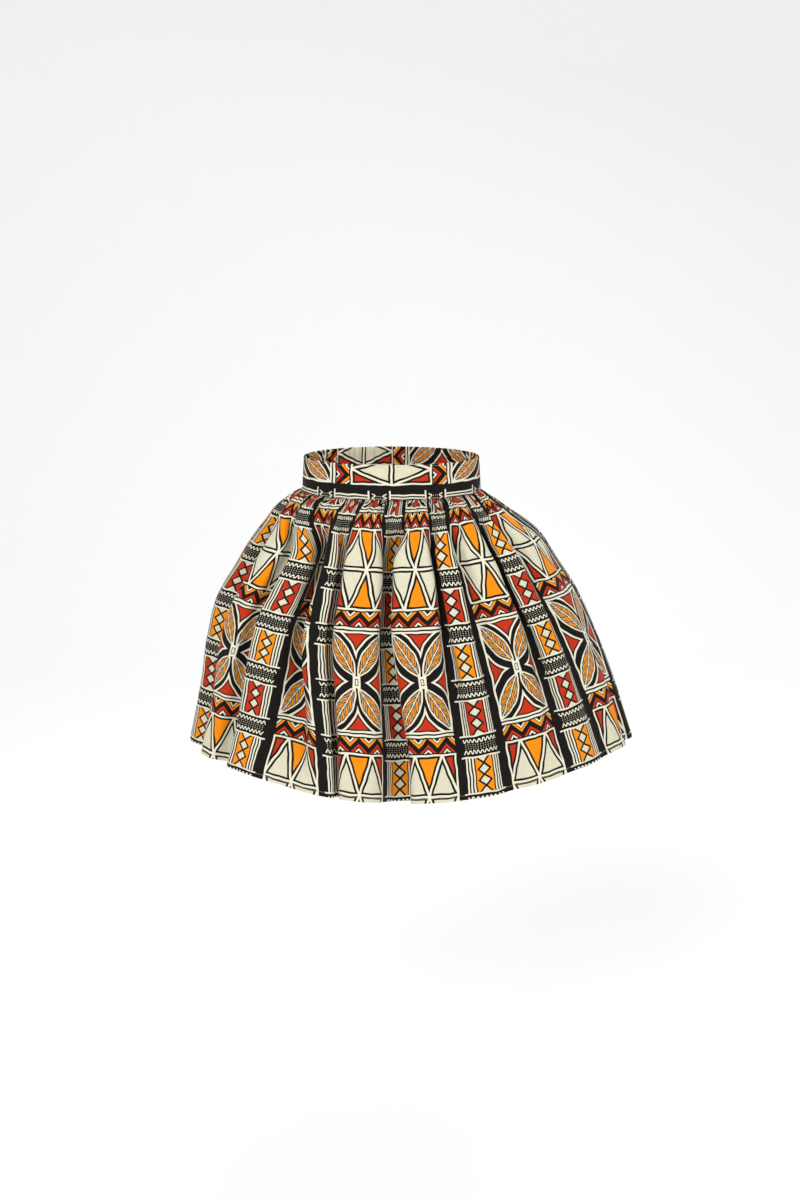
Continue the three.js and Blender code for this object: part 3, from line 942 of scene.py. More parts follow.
@dataclass(frozen=True)
class PrintedCotton:
    """Crisp printed cotton: the print, a plain weave, soft crumples and a slight sheen."""

    name: str
    specular: float = 0.12
    sheen: float = 0.03
    sheen_roughness: float = 0.5
    bump_metres: float = 0.0004
    bump_strength: float = 0.5

    def material(self, wax_print: GroupDraft, weave: GroupDraft) -> bpy.types.Material:
        """The material, on the piece's own cloth coordinates."""
        material, tree, shader = fresh_material(self.name)
        cloth = tree.nodes.new("ShaderNodeTexCoord").outputs["UV"]
        colour = wax_print.place(tree, vector=cloth)
        surface = weave.place(tree, vector=cloth, color=colour.outputs[0])
        tree.links.new(surface.outputs["Color"], shader.inputs["Base Color"])
        tree.links.new(surface.outputs["Roughness"], shader.inputs["Roughness"])
        bump = tree.nodes.new("ShaderNodeBump")
        bump.inputs["Distance"].default_value = self.bump_metres
        bump.inputs["Strength"].default_value = self.bump_strength
        tree.links.new(surface.outputs["Height"], bump.inputs["Height"])
        tree.links.new(bump.outputs[0], shader.inputs["Normal"])
        shader.inputs["Specular IOR Level"].default_value = self.specular
        shader.inputs["Sheen Weight"].default_value = self.sheen
        shader.inputs["Sheen Roughness"].default_value = self.sheen_roughness
        return material


@dataclass(frozen=True)
class CottonWeave:
    """Plain-weave cotton: fine crossed threads, mottled ink and faint crumples.

    Threads repeat every `pitch` metres. A noise is given by its scale and its detail, and a range
    by what the noise is multiplied by and what is added.
    """

    pitch: float = 0.0009
    mottle: Span = (160.0, 4.0)
    crumple: Span = (26.0, 3.0)
    tint_range: Span = (0.20, 0.90)
    roughness_range: Span = (0.22, 0.56)
    crumple_height: float = 6.0
    thread_height: float = 0.22

    def group(self) -> GroupDraft:
        """The weave: it takes cloth coordinates and a colour."""
        kinds = {"Vector": SocketKind.VECTOR, "Color": SocketKind.COLOUR}
        number = SocketKind.NUMBER
        gives = {"Color": SocketKind.COLOUR, "Roughness": number, "Height": number}
        group = GroupDraft("cotton_weave", kinds, gives)
        tree, vector = group.tree, group.input("Vector")
        u, v = across_and_down(tree, vector)
        warp = (u * (2 * math.pi / self.pitch)).math("SINE")
        weft = (v * (2 * math.pi / self.pitch)).math("SINE")
        grain = Field(tree, noise(tree, vector, *self.mottle).outputs[0])
        soft = Field(tree, noise(tree, vector, *self.crumple).outputs[0])
        tint = tree.nodes.new("ShaderNodeVectorMath")
        tint.operation = "SCALE"
        tree.links.new(group.input("Color"), tint.inputs[0])
        tree.links.new(grain.times_plus(*self.tint_range).socket, tint.inputs["Scale"])
        group.give("Color", Ink(tree, tint.outputs[0]))
        group.give("Roughness", grain.times_plus(*self.roughness_range))
        threads = warp * weft * self.thread_height
        group.give("Height", soft.times_plus(self.crumple_height, threads))
        return group


@dataclass(frozen=True)
class SewingThread:
    """Spun sewing thread: a plain colour with a twist that catches the light."""

    name: str
    colour: Triple
    shade: float = 0.7
    twist: Span = (900.0, 2.0)
    roughness: float = 0.6

    def material(self) -> bpy.types.Material:
        """The material, with its twist in Object coordinates."""
        material, tree, shader = fresh_material(self.name)
        place = tree.nodes.new("ShaderNodeTexCoord").outputs["Object"]
        twist = noise(tree, place, *self.twist, dimensions="3D")
        ramp = tree.nodes.new("ShaderNodeMix")
        ramp.data_type = "RGBA"
        ramp.inputs[6].default_value = (*(self.shade * part for part in self.colour), 1.0)
        ramp.inputs[7].default_value = (*self.colour, 1.0)
        tree.links.new(twist.outputs[0], ramp.inputs["Factor"])
        tree.links.new(ramp.outputs[2], shader.inputs["Base Color"])
        shader.inputs["Roughness"].default_value = self.roughness
        return material


# ---- Gathers and creases --------------------------------------------------------------------------
@dataclass(frozen=True)
class Wave:
    """A sine along the cloth: its height, its radians for each unit along, and where it starts."""

    height: float
    rate: float
    start: float = 0.0

    def at(self, place: Array) -> Array:
        """The height times the sine of the rate times the place, plus the start."""
        return self.height * np.sin(self.rate * place + self.start)


def waves(rows: tuple[Wave, ...], place: Array, start: Array | float = 0.0) -> Array:
    """The sum of several waves at a place, added to a start."""
    return sum((wave.at(place) for wave in rows), start)


@dataclass(frozen=True)
class Gathers:
    """The large gathers at a panel's top, drawn inwards.

    `drift` moves their beat, in millimetres, and `strength` deepens some, each by waves of the share
    of the panel's width. They swell below the seam, fade further down, and die at the sides.
    """

    count: int
    depth: float = 7.0
    drift: tuple[Wave, ...] = (Wave(7, 9.4, 0.8), Wave(4, 27))
    mean_strength: float = 0.75
    strength: Wave = Wave(0.25, 41, 1.7)
    side_fade: float = 25.0
    at_seam: float = 0.62
    swell_end: float = 14.0
    fade_from: float = 10.0
    fade_run: float = 62.0

    def inwards(self, s: Array, v: Array, width: float) -> Array:
        """How far they draw a panel of that width in: half a cosine's rise, times its strengths."""
        share = s / width
        beat = self.count * (s + waves(self.drift, share)) / width
        wave = 0.5 - 0.5 * np.cos(2 * math.pi * beat)
        strength = self.mean_strength + self.strength.at(share)
        edge = ease(s / self.side_fade) * ease((width - s) / self.side_fade)
        fade = mix(self.at_seam, 1, ease(v / self.swell_end))
        fade = fade * (1 - ease((v - self.fade_from) / self.fade_run))
        return self.depth * wave * strength * edge * fade


@dataclass(frozen=True)
class SmallGathers:
    """The small gathers just below the waist seam.

    Their beat wanders along the cloth and leans with the depth. They swell below the seam and die at
    a depth that differs from gather to gather. The cloth is also drawn sideways, a quarter wave
    behind, which squeezes the print unevenly.
    """

    length: float = 14.2
    out: float = 2.9
    doubled: float = 1.0
    doubled_start: float = 0.7
    sideways: float = 2.3
    drift: tuple[Wave, ...] = (Wave(4.6, 1 / 21, 0.4), Wave(2.1, 1 / 8.3, 1.1))
    lean: tuple[Wave, ...] = (Wave(0.30, 1 / 33, 1.0), Wave(0.16, 1 / 12))
    mean_strength: float = 0.62
    strength: Wave = Wave(0.38, 1 / 27, 2.0)
    strength_beat: Wave = Wave(1.0, 1 / 71, 0.6)
    mean_reach: float = 44.0
    reach: tuple[Wave, ...] = (Wave(16, 1 / 37), Wave(13, 1 / 13, 1.0))
    swell_end: float = 7.0
    fade_from: float = 6.0

    def shift(self, s: Array, v: Array) -> tuple[Array, Array]:
        """How far the cloth goes out, and how far to the right, at cloth distances.

        Out is a sine plus a small cosine of twice its angle; right is a cosine.
        """
        beat = s + waves(self.drift, s) + v * waves(self.lean, s)
        angle = 2 * math.pi * beat / self.length
        strength = self.mean_strength + self.strength.at(s) * self.strength_beat.at(s)
        run = self.mean_reach + waves(self.reach, s) - self.fade_from
        fade = strength * ease(v / self.swell_end) * (1 - ease((v - self.fade_from) / run))
        out = self.out * np.sin(angle) + self.doubled * np.cos(2 * angle + self.doubled_start)
        return out * fade, self.sideways * np.cos(angle) * fade


@dataclass(frozen=True)
class FineRelief:
    """Soft ripples and swells below the gathers, and the listed creases."""

    creases: tuple[Crease, ...]
    lean: Wave = Wave(0.05, 1 / 90)
    ripple: float = 0.6
    ripple_radian: float = 9.6
    ripple_bend: Wave = Wave(1.2, 1 / 120)
    ripple_beat: Wave = Wave(1.0, 1 / 41, 0.5)
    ripple_from: float = 20.0
    ripple_run: float = 80.0
    calm_from: float = 250.0
    calm_run: float = 200.0
    swell: float = 0.9
    swell_across: Span = (33.0, 57.0)
    swell_down: Span = (75.0, 44.0)
    swell_from: float = 40.0
    swell_run: float = 90.0

    def out(self, s: Array, v: Array) -> Array:
        """How far the cloth goes out: a leaning, beating ripple, two crossed sines, and creases."""
        leaning = s + v * self.lean.at(s)
        ripple = self.ripple * np.sin(leaning / self.ripple_radian + self.ripple_bend.at(v))
        ripple = ripple * self.ripple_beat.at(leaning)
        ripple = ripple * ease((v - self.ripple_from) / self.ripple_run)
        relief = ripple * (1 - 0.5 * ease((v - self.calm_from) / self.calm_run))
        across, down = (np.sin(s / a + v / b) for a, b in (self.swell_across, self.swell_down))
        relief = relief + self.swell * across * down * ease((v - self.swell_from) / self.swell_run)
        for crease in self.creases:
            relief = relief + crease.relief(s, v)
        return relief


# ---- The skirt's pieces -------------------------------------------------------------------------
@dataclass
class GatheredPanel:
    """The front or the back of the skirt: one width of cloth, gathered at the top and folded below."""

    node: str
    folds: Array
    cloth_width: float
    gathers: Gathers
    relief: FineRelief
    front: bool
    print_shift: float
    small_gathers: SmallGathers = SmallGathers()
    fold_shape: FoldShape = FoldShape()
    columns: int = 600
    close_rows_to: float = 56.0
    close_row: float = 2.0
    wide_rows: int = 52
    hem_sharpness: float = 0.5
    fold_drop: float = 0.25
    edge_fade: float = 12.0
    gape_fade: float = 70.0
    seam_fade: float = 20.0
    grid_s: Array = field(init=False, repr=False)
    grid_v: Array = field(init=False, repr=False)
    grid: Array = field(init=False, repr=False)
    grid_normals: Array = field(init=False, repr=False)

    def rows(self) -> Array:
        """Cloth distances of the grid's rows: close at the gathers, wider below them."""
        close = np.arange(0.0, self.close_rows_to, self.close_row)
        wide = np.linspace(self.close_rows_to, SKIRT_LENGTH, self.wide_rows)
        return np.concatenate([close, wide])

    def middle(self, s: Array, v: Array) -> Array:
        """The panel's middle surface.

        At each level the crests stand on the outside form, and the cloth between two of them follows
        its fold's run. The cloth drops a little where it folds inwards.

        Args:
            s: Cloth distances across, one for each column.
            v: Cloth distances down, one for each row.

        Returns:
            Points as (rows, columns, 3), millimetres.
        """
        fold = dict(zip(FOLD_COLUMNS, self.folds.T, strict=True))
        v = v[:, None]
        to_hem = np.clip((v - HIP) / (SKIRT_LENGTH - HIP), 0, 1)
        turns = seam_turn(fold["waist"], fold["hip"], fold["hem"], v)
        crests = envelope(turns, v)
        run = np.diff(crests[..., :2], axis=1)
        width = np.diff(fold["cloth"])
        valley = mix(fold["valley_hip"], fold["valley_hem"], to_hem)[:, :-1]
        share = (valley - fold["cloth"][:-1]) / width
        sharp = fold["sharp"][:-1] * mix(1.0, self.hem_sharpness, ease(to_hem))
        chords = np.hypot(run[..., 0], run[..., 1])
        shape = self.fold_shape
        paths = shape.profiles(chords, width + 0 * v, share, sharp, shape.tip_limit(v))
        i = np.clip(np.searchsorted(fold["cloth"], s, side="right") - 1, 0, len(width) - 1)
        q = (s - fold["cloth"][i]) / width[i]
        at = np.minimum((q * shape.steps).astype(int), shape.steps - 1)
        part = (q * shape.steps - at)[:, None]
        place = paths[:, i, at] * (1 - part) + paths[:, i, at + 1] * part
        start, chord = crests[:, i], run[:, i]
        normal = np.stack([-chord[..., 1], chord[..., 0]], -1)
        outside = envelope(mix(turns[:, i], turns[:, i + 1], q), v)
        straight = mix(start, crests[:, i + 1], q[:, None])
        level = start[..., :2] + chord * place[..., :1] + normal * place[..., 1:]
        level += outside[..., :2] - straight[..., :2]
        folded = np.linalg.norm(outside[..., :2], axis=-1) - np.linalg.norm(level, axis=-1)
        height = outside[..., 2] - self.fold_drop * np.maximum(0, folded)
        return np.concatenate([level, height[..., None]], -1)

    def seam_shift(self, s: Array, v: Array) -> Array:
        """How far each side edge is drawn from the side seam, most at the pocket mouth."""
        from_seam = np.minimum(s, self.cloth_width - s)
        gape = (MOUTH_GAPE / 2) * mouth_open(v) * (1 - ease(from_seam / self.gape_fade))
        return gape + (SEAM_GAP / 2) * (1 - ease(from_seam / self.seam_fade))

    def surface(self, s: Array, v: Array) -> Array:
        """The panel's middle surface with its gathers, small folds, creases and pocket edges."""
        points = self.middle(s, v)
        across, down = np.meshgrid(s, v)
        inwards = self.gathers.inwards(across, down, self.cloth_width)
        points += towards_axis(points) * inwards[..., None]
        edge = ease(across / self.edge_fade) * ease((self.cloth_width - across) / self.edge_fade)
        out, right = self.small_gathers.shift(across, down)
        out = (out + self.relief.out(across, down)) * edge
        sideways = unit(np.gradient(points, axis=1))
        points += grid_normals(points) * out[..., None]
        points += sideways * (right * edge)[..., None]
        points[..., 1] += (-1 if self.front else 1) * self.seam_shift(across, down)
        return points

    def build(self, material: bpy.types.Material) -> bpy.types.Object:
        self.grid_s, self.grid_v = np.linspace(0, self.cloth_width, self.columns + 1), self.rows()
        self.grid = self.surface(self.grid_s, self.grid_v)
        self.grid_normals = grid_normals(self.grid)
        across, down = np.meshgrid(self.grid_s, self.grid_v)
        hem_edge = ease((down - SKIRT_LENGTH + HEM_TURN) / HEM_TURN_STEP)
        turned = (HEM_TURN_THICKNESS * hem_edge)[..., None]
        uv = np.stack([across + self.print_shift, down], -1)
        wall = wall_about(self.grid, self.grid_normals, uv, turned)
        obj = wall.build(f"{self.node}_cloth", material)
        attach(obj, BODY)
        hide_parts(self.node)
        self.cloth_width * METRES
        log.info("%s: %d faces", obj.name, len(obj.data.polygons))
        return obj


def seam_turn(waist: Array, hip: Array, hem: Array, cloth: Array) -> Array:
    """The turn of a line down the skirt: eased from waist to hip, then even to the hem."""
    to_hem = np.clip((cloth - HIP) / (SKIRT_LENGTH - HIP), 0, 1)
    return waist + (hip - waist) * ease(cloth / HIP) + (hem - hip) * to_hem


def mouth_open(cloth: Array) -> Array:
    """How far open a pocket mouth is down the seam, from 0 at its ends to 1: a sine, a little full."""
    down = np.clip((cloth - MOUTH_TOP) / (MOUTH_END - MOUTH_TOP), 0, 1)
    return np.sin(math.pi * down) ** FULL_SINE


@dataclass
class WaistbandHalf:
    """Half of the waistband, from side seam to side seam: flat in front, shirred on elastic behind."""

    node: str
    from_turn: float
    columns: int
    elastic: bool
    wall: float = 2.4
    gather: float = 1.0
    ripples: int = 36
    ripple_depth: float = 3.0
    small_ripples: float = 2.17
    small_depth: float = 0.6
    drift: tuple[Wave, ...] = (Wave(0.006, 19.0), Wave(0.004, 47.0, 1.0))
    least_swell: float = 0.72
    swell_range: float = 0.28
    sides: float = 12.0
    foot: float = 0.6
    fold_points: int = 9
    face_points: int = 13

    def surface(self, share: Array, height: Array, out: Array) -> Array:
        """Points of the band.

        An oval that flares by `BAND_FLARE` to its lower edge, moved out or in by `out`. Elastic draws
        it into upright ripples that swell between the rows of stitches.

        Args:
            share: Shares of the half's run, 0 to 1.
            height: Heights above the lower edge, millimetres.
            out: How far outside the middle of the wall.

        Returns:
            Points, millimetres, in a last axis.
        """
        turn = np.radians(self.from_turn + 180 * share)
        near, far = ease(share * self.sides), ease((1 - share) * self.sides)
        grow = -BAND_FLARE * height / BAND_HEIGHT + out
        if self.elastic:
            uneven = waves(self.drift, share, start=share)
            wave = 0.5 - 0.5 * np.cos(2 * math.pi * self.ripples * uneven)
            small = 0.5 - 0.5 * np.cos(2 * math.pi * self.ripples * self.small_ripples * uneven + 1.0)
            between = np.abs(np.sin((CASING_ROWS + 1) * math.pi * height / BAND_HEIGHT))
            swell = near * far * (self.least_swell + self.swell_range * between)
            grow = grow - swell * (self.ripple_depth * wave + self.small_depth * small)
        x = (WAIST_HALF_WIDTH + grow) * np.sin(turn)
        y = -(WAIST_HALF_DEPTH + grow) * np.cos(turn)
        y = y - (SEAM_GAP / 2) * (2 - near - far) * np.sign(np.cos(turn))
        return np.stack(np.broadcast_arrays(x, y, height - BAND_HEIGHT / 2), -1)

    def profile(self) -> tuple[Array, Array]:
        """Heights and outward offsets round the wall's section: up the outside, over, down inside."""
        half, foot = self.wall / 2, self.wall / 2 * self.foot
        bend = np.linspace(0, math.pi, self.fold_points)[1:-1]
        rise = np.linspace(foot, BAND_HEIGHT - half, self.face_points)
        top = BAND_HEIGHT - half + half * np.sin(bend)
        height = np.concatenate([rise, top, rise[::-1], foot - foot * np.sin(bend)])
        over = half * np.cos(bend)
        out = np.concatenate([rise * 0 + half, over, rise * 0 - half, -over])
        return height, out

    def build(self, material: bpy.types.Material) -> bpy.types.Object:
        """Builds the half as a closed, folded strip, with the print turned a quarter."""
        height, out = self.profile()
        share = np.linspace(0, 1, self.columns + 1)
        points = self.surface(share[None, :], height[:, None], out[:, None])
        middle = self.surface(share, np.full_like(share, BAND_HEIGHT / 2), 0 * share)
        run = arc_lengths(middle)
        start = BACK_PRINT_AT if self.elastic else -run[-1] / 2
        along = start + run * self.gather
        u = BAND_PRINT_TOP - height[:, None]
        uv = np.stack(np.broadcast_arrays(u, BAND_PRINT_MIDDLE - along), -1)
        obj = capped_strip(f"{self.node}_cloth", points, uv, material)
        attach(obj, BODY)
        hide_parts(self.node)
        log.info("%s: %d faces", obj.name, len(obj.data.polygons))
        return obj


def arc_lengths(points: Array) -> Array:
    """Distances along a line of points from its first one."""
    return np.concatenate([[0.0], np.cumsum(np.linalg.norm(np.diff(points, axis=0), axis=1))])


def capped_strip(
    name: str, points: Array, uv: Array, material: bpy.types.Material
) -> bpy.types.Object:
    """A closed section carried along a line, with a flat cap of triangles on each end.

    Args:
        name: The piece's name.
        points: Sections as (points round, places along, 3), millimetres.
        uv: Cloth coordinates, as (points round, places along, 2).
        material: Its finish.

    Returns:
        The object.
    """
    count, columns = points.shape[:2]
    number = np.arange(count * columns).reshape(count, columns)
    ring = np.concatenate([number, number[:1]], axis=0)
    a, b, c, d = ring[:-1, :-1], ring[:-1, 1:], ring[1:, 1:], ring[1:, :-1]
    quads = np.stack([a, b, c, d], -1).reshape(-1, 4)
    first, last = np.full(count, count * columns), np.full(count, count * columns + 1)
    start = np.stack([ring[:-1, 0], ring[1:, 0], first], -1)
    end = np.stack([ring[1:, -1], ring[:-1, -1], last], -1)
    faces = np.concatenate([quads[:, [0, 1, 2]], quads[:, [0, 2, 3]], start, end])

    def with_ends(grid: Array) -> Array:
        """A grid as a list, with the mean of its first and of its last section after it."""
        ends = [grid[:, :1].mean(axis=0), grid[:, -1:].mean(axis=0)]
        return np.concatenate([grid.reshape(-1, grid.shape[-1]), *ends])

    return mesh_object(name, with_ends(points), faces, material, with_ends(uv))


@dataclass
class PocketLeaf:
    """One leaf of a pocket bag that hangs inside a side seam."""

    side: int
    back: bool
    columns: int = 30
    rows: int = 40
    wall: float = 2.2
    mouth_reach: float = 1.6
    narrow_end: float = 0.6
    turn_in: float = 0.33
    first_inset: float = 20.0
    inset_slope: float = 0.42
    inset_run: float = 0.35
    front_print_at: float = 210.0
    back_print_at: float = 40.0
    print_width: float = 186.0

    @property
    def node(self) -> str:
        """The name of the solid that this leaf stands for."""
        return f"pocket_{'right' if self.side < 0 else 'left'}_{'back' if self.back else 'front'}"

    def gap(self, down: Array, across: Array) -> Array:
        """The room between the leaves: the open mouth, a hand's room, and a seam at the edges."""
        cloth = mix(POCKET_TOP, POCKET_END, down)
        mouth = MOUTH_GAPE * mouth_open(cloth) * (1 - ease(across * self.mouth_reach))
        bag = np.abs(np.sin(math.pi * across) * np.sin(math.pi * down)) ** FULL_SINE
        return self.wall + SEAM_GAP + np.maximum(mouth, HAND_ROOM * bag)

    def surface(self) -> Array:
        """The leaf's middle surface: in from the side seam, then round to the front behind the folds.

        Its ends are narrower by a cubed oval. The back leaf is the front one moved by the gap between
        them, straight back at the seam and along its normal further in.
        """
        down = np.linspace(0, 1, self.rows + 1)[:, None]
        across = np.linspace(0, 1, self.columns + 1)[None, :]
        cloth = mix(POCKET_TOP, POCKET_END, down)
        waist, hip, hem = FRONT_FOLDS[0 if self.side < 0 else -1, 1:4]
        out = across * mix(self.narrow_end, 1.0, np.sqrt(1 - np.abs(2 * down - 1) ** 3))
        bend = out - self.turn_in * np.sin(math.pi * out)
        turn = seam_turn(waist, hip, hem, cloth) - self.side * POCKET_REACH * bend
        points = envelope(turn, cloth + 0 * bend)
        deep = np.minimum(POCKET_INSET, self.first_inset + self.inset_slope * cloth)
        inset = LEAF_CLEARANCE + deep * ease(out / self.inset_run)
        points += towards_axis(points) * inset[..., None]
        room = self.gap(down, across)
        points[..., 1] -= room / 2
        if self.back:
            normal = grid_normals(points)
            normal = normal * np.where(normal[..., 1:2] < 0, -1.0, 1.0)
            normal[..., [0, 2]] *= ease(3 * across)[..., None]
            points = points + unit(normal) * room[..., None]
        return points

    def build(self, material: bpy.types.Material) -> bpy.types.Object:
        points = self.surface()
        if self.side > 0:
            points = points[:, ::-1]
        down = np.linspace(POCKET_TOP, POCKET_END, self.rows + 1)[:, None]
        across = np.linspace(0, self.print_width, self.columns + 1)[None, :]
        across = across + (self.back_print_at if self.back else self.front_print_at)
        uv = np.stack(np.broadcast_arrays(across, down), -1)
        wall = wall_about(points, grid_normals(points), uv)
        obj = wall.build(f"{self.node}_cloth", material)
        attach(obj, BODY)
        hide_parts(self.node)
        log.info("%s: %d faces", obj.name, len(obj.data.polygons))
        return obj


# ---- Sewing -------------------------------------------------------------------------------------
# A row for each section of a stitch: its share of the length, its size, and its rise off the cloth,
# both as shares of the thread's radius.
STITCH_SECTIONS = (
    (0.0, 0.25, -0.5),
    (0.12, 0.8, 0.3),
    (0.5, 1.0, 0.75),
    (0.88, 0.8, 0.3),
    (1.0, 0.25, -0.5),
)


@dataclass(frozen=True)
class Stitching:
    """A row of machine stitches: short rounded bars of thread end to end along a line."""

    length: float = 2.7
    pitch: float = 3.4
    radius: float = 0.28
    around: int = 6

    def mesh(self, line: Array, normals: Array) -> tuple[Array, NDArray[np.int64]]:
        """The stitches along a line, as one mesh.

        Each is a bar of the sections in the table, a circle of `around` points in each.

        Args:
            line: Points on the cloth's face, millimetres.
            normals: Outward normals there.

        Returns:
            Vertices and three-sided faces.
        """
        run = arc_lengths(line)
        starts = np.arange(0.5 * self.pitch, run[-1] - self.pitch, self.pitch)
        share, size, rise = np.array(STITCH_SECTIONS).T
        where = starts[:, None] + share * self.length
        centre = np.stack([np.interp(where, run, line[:, k]) for k in range(3)], -1)
        out = unit(np.stack([np.interp(where, run, normals[:, k]) for k in range(3)], -1))
        forward = unit(centre[:, -1:] - centre[:, :1])
        side = unit(np.cross(out, forward))
        centre = centre + out * (rise * self.radius)[None, :, None]
        angle = 2 * math.pi * np.arange(self.around) / self.around
        spread = self.radius * size[:, None]
        ring = centre[:, :, None] + spread[None, :, :, None] * (
            np.cos(angle)[:, None] * side[:, :, None] + np.sin(angle)[:, None] * out[:, :, None]
        )
        count, sections = len(starts), len(share)
        number = np.arange(count * sections * self.around).reshape(count, sections, self.around)
        after = np.roll(number, -1, axis=2)
        a, b, c, d = number[:, :-1], after[:, :-1], after[:, 1:], number[:, 1:]
        sides = np.concatenate([np.stack([a, b, c], -1), np.stack([a, c, d], -1)]).reshape(-1, 3)
        fan = np.arange(1, self.around - 1)
        first, last = number[:, 0], number[:, -1]
        near = np.stack([first[:, :1] + 0 * fan, first[:, fan + 1], first[:, fan]], -1)
        far = np.stack([last[:, :1] + 0 * fan, last[:, fan], last[:, fan + 1]], -1)
        faces = np.concatenate([sides, near.reshape(-1, 3), far.reshape(-1, 3)])
        return ring.reshape(-1, 3), faces


def sew(
    name: str,
    rows: list[tuple[Array, Array]],
    stitches: Stitching,
    thread: bpy.types.Material,
) -> None:
    """Sews several rows of stitches as one piece that rides with the skirt.

    Args:
        name: The piece's name.
        rows: A line and its normals for each row.
        stitches: The kind of stitch.
        thread: Its finish.
    """
    points, faces, count = [], [], 0
    for line, normals in rows:
        vertices, triangles = stitches.mesh(line, normals)
        points.append(vertices)
        faces.append(triangles + count)
        count += len(vertices)
    obj = mesh_object(name, np.concatenate(points), np.concatenate(faces), thread, sharp_degrees=80)
    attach(obj, BODY)
    log.info("%s: %d faces", name, len(obj.data.polygons))


def panel_row(panel: GatheredPanel, v: float) -> tuple[Array, Array]:
    """A line across a panel's outside face at a cloth distance down it, with its normals."""
    at = np.clip(np.searchsorted(panel.grid_v, v) - 1, 0, len(panel.grid_v) - 2)
    t = (v - panel.grid_v[at]) / (panel.grid_v[at + 1] - panel.grid_v[at])
    line = mix(panel.grid[at], panel.grid[at + 1], t)
    normals = unit(mix(panel.grid_normals[at], panel.grid_normals[at + 1], t))
    return line + normals * CLOTH_THICKNESS / 2, normals


def panel_column(panel: GatheredPanel, s: float, start: float, end: float) -> tuple[Array, Array]:
    """A line down a panel's outside face at a cloth distance across it, with its normals."""
    at = np.clip(np.searchsorted(panel.grid_s, s) - 1, 0, len(panel.grid_s) - 2)
    t = (s - panel.grid_s[at]) / (panel.grid_s[at + 1] - panel.grid_s[at])
    rows = (panel.grid_v >= start) & (panel.grid_v <= end)
    line = mix(panel.grid[rows, at], panel.grid[rows, at + 1], t)
    normals = unit(mix(panel.grid_normals[rows, at], panel.grid_normals[rows, at + 1], t))
    return line + normals * CLOTH_THICKNESS / 2, normals


BAND_ROW_START = 0.008  # share of the half's run, clear of the side seam
BAND_ROW_POINTS = 1200


def band_row(band: WaistbandHalf, height: float) -> tuple[Array, Array]:
    """A line along a band half's outside face at a height above its lower edge, with its normals."""
    share = np.linspace(BAND_ROW_START, 1 - BAND_ROW_START, BAND_ROW_POINTS)
    line = band.surface(share, np.full_like(share, height), np.full_like(share, band.wall / 2))
    return line, unit(np.cross(np.gradient(line, axis=0), [0.0, 0.0, 1.0]))


# The kinds of stitch, by length, pitch and radius, and where their rows run.
HEM_STITCH = Stitching()
EDGE_STITCH = Stitching(2.2, 2.8, 0.24)
CASING_STITCH = Stitching(2.4, 3.0, 0.26)
TACK_STITCH = Stitching(1.5, 1.6, 0.5)
HEM_ROW = 7.0  # above the hem
FOOT_ROW, TOP_ROW = 2.2, 2.4  # inside the band's edges
MOUTH_ROW = 7.0  # from the side seam
TACK_HALF = 6.5
TACK_INSET = 2.0


def sew_all(
    front: GatheredPanel,
    back: GatheredPanel,
    front_band: WaistbandHalf,
    back_band: WaistbandHalf,
    thread: bpy.types.Material,
) -> None:
    """Sews the hem, the band's edges, the casing's rows and the pocket mouths."""
    hem = [panel_row(panel, SKIRT_LENGTH - HEM_ROW) for panel in (front, back)]
    sew("hem_stitches", hem, HEM_STITCH, thread)
    heights = (FOOT_ROW, BAND_HEIGHT - TOP_ROW)
    edges = [band_row(band, height) for band in (front_band, back_band) for height in heights]
    sew("waistband_stitches", edges, EDGE_STITCH, thread)
    spacing = BAND_HEIGHT / (CASING_ROWS + 1)
    casing = [band_row(back_band, spacing * (row + 1)) for row in range(CASING_ROWS)]
    sew("elastic_stitches", casing, CASING_STITCH, thread)
    mouths, tacks = [], []
    for s in (MOUTH_ROW, front.cloth_width - MOUTH_ROW):
        mouths.append(panel_column(front, s, MOUTH_TOP, MOUTH_END))
        for end in (MOUTH_TOP + TACK_INSET, MOUTH_END - TACK_INSET):
            line, normals = panel_row(front, end)
            near = np.abs(front.grid_s - s) <= TACK_HALF
            tacks.append((line[near], normals[near]))
    sew("pocket_stitches", mouths, CASING_STITCH, thread)
    sew("pocket_bar_tacks", tacks, TACK_STITCH, thread)


# ---- Studio -------------------------------------------------------------------------------------
@dataclass(frozen=True)
class SoftLight:
    """A square soft light that faces the middle of the skirt: its place, its side and its power."""

    name: str
    place: Triple
    size: float
    power: float
    aim: Triple = (0.0, 0.0, -0.25)

    def build(self) -> None:
        """Hangs the light at its place, turned to its aim."""
        data = bpy.data.lights.new(self.name, "AREA")
        data.shape = "SQUARE"
        data.size = self.size
        data.energy = self.power
        lamp = bpy.data.objects.new(self.name, data)
        lamp.location = self.place
        x, y, z = np.array(self.aim) - np.array(self.place)
        tilt = math.atan2(math.hypot(x, y), -z)
        lamp.rotation_euler = (tilt, 0.0, math.atan2(y, x) - math.pi / 2)
        bpy.context.scene.collection.objects.link(lamp)


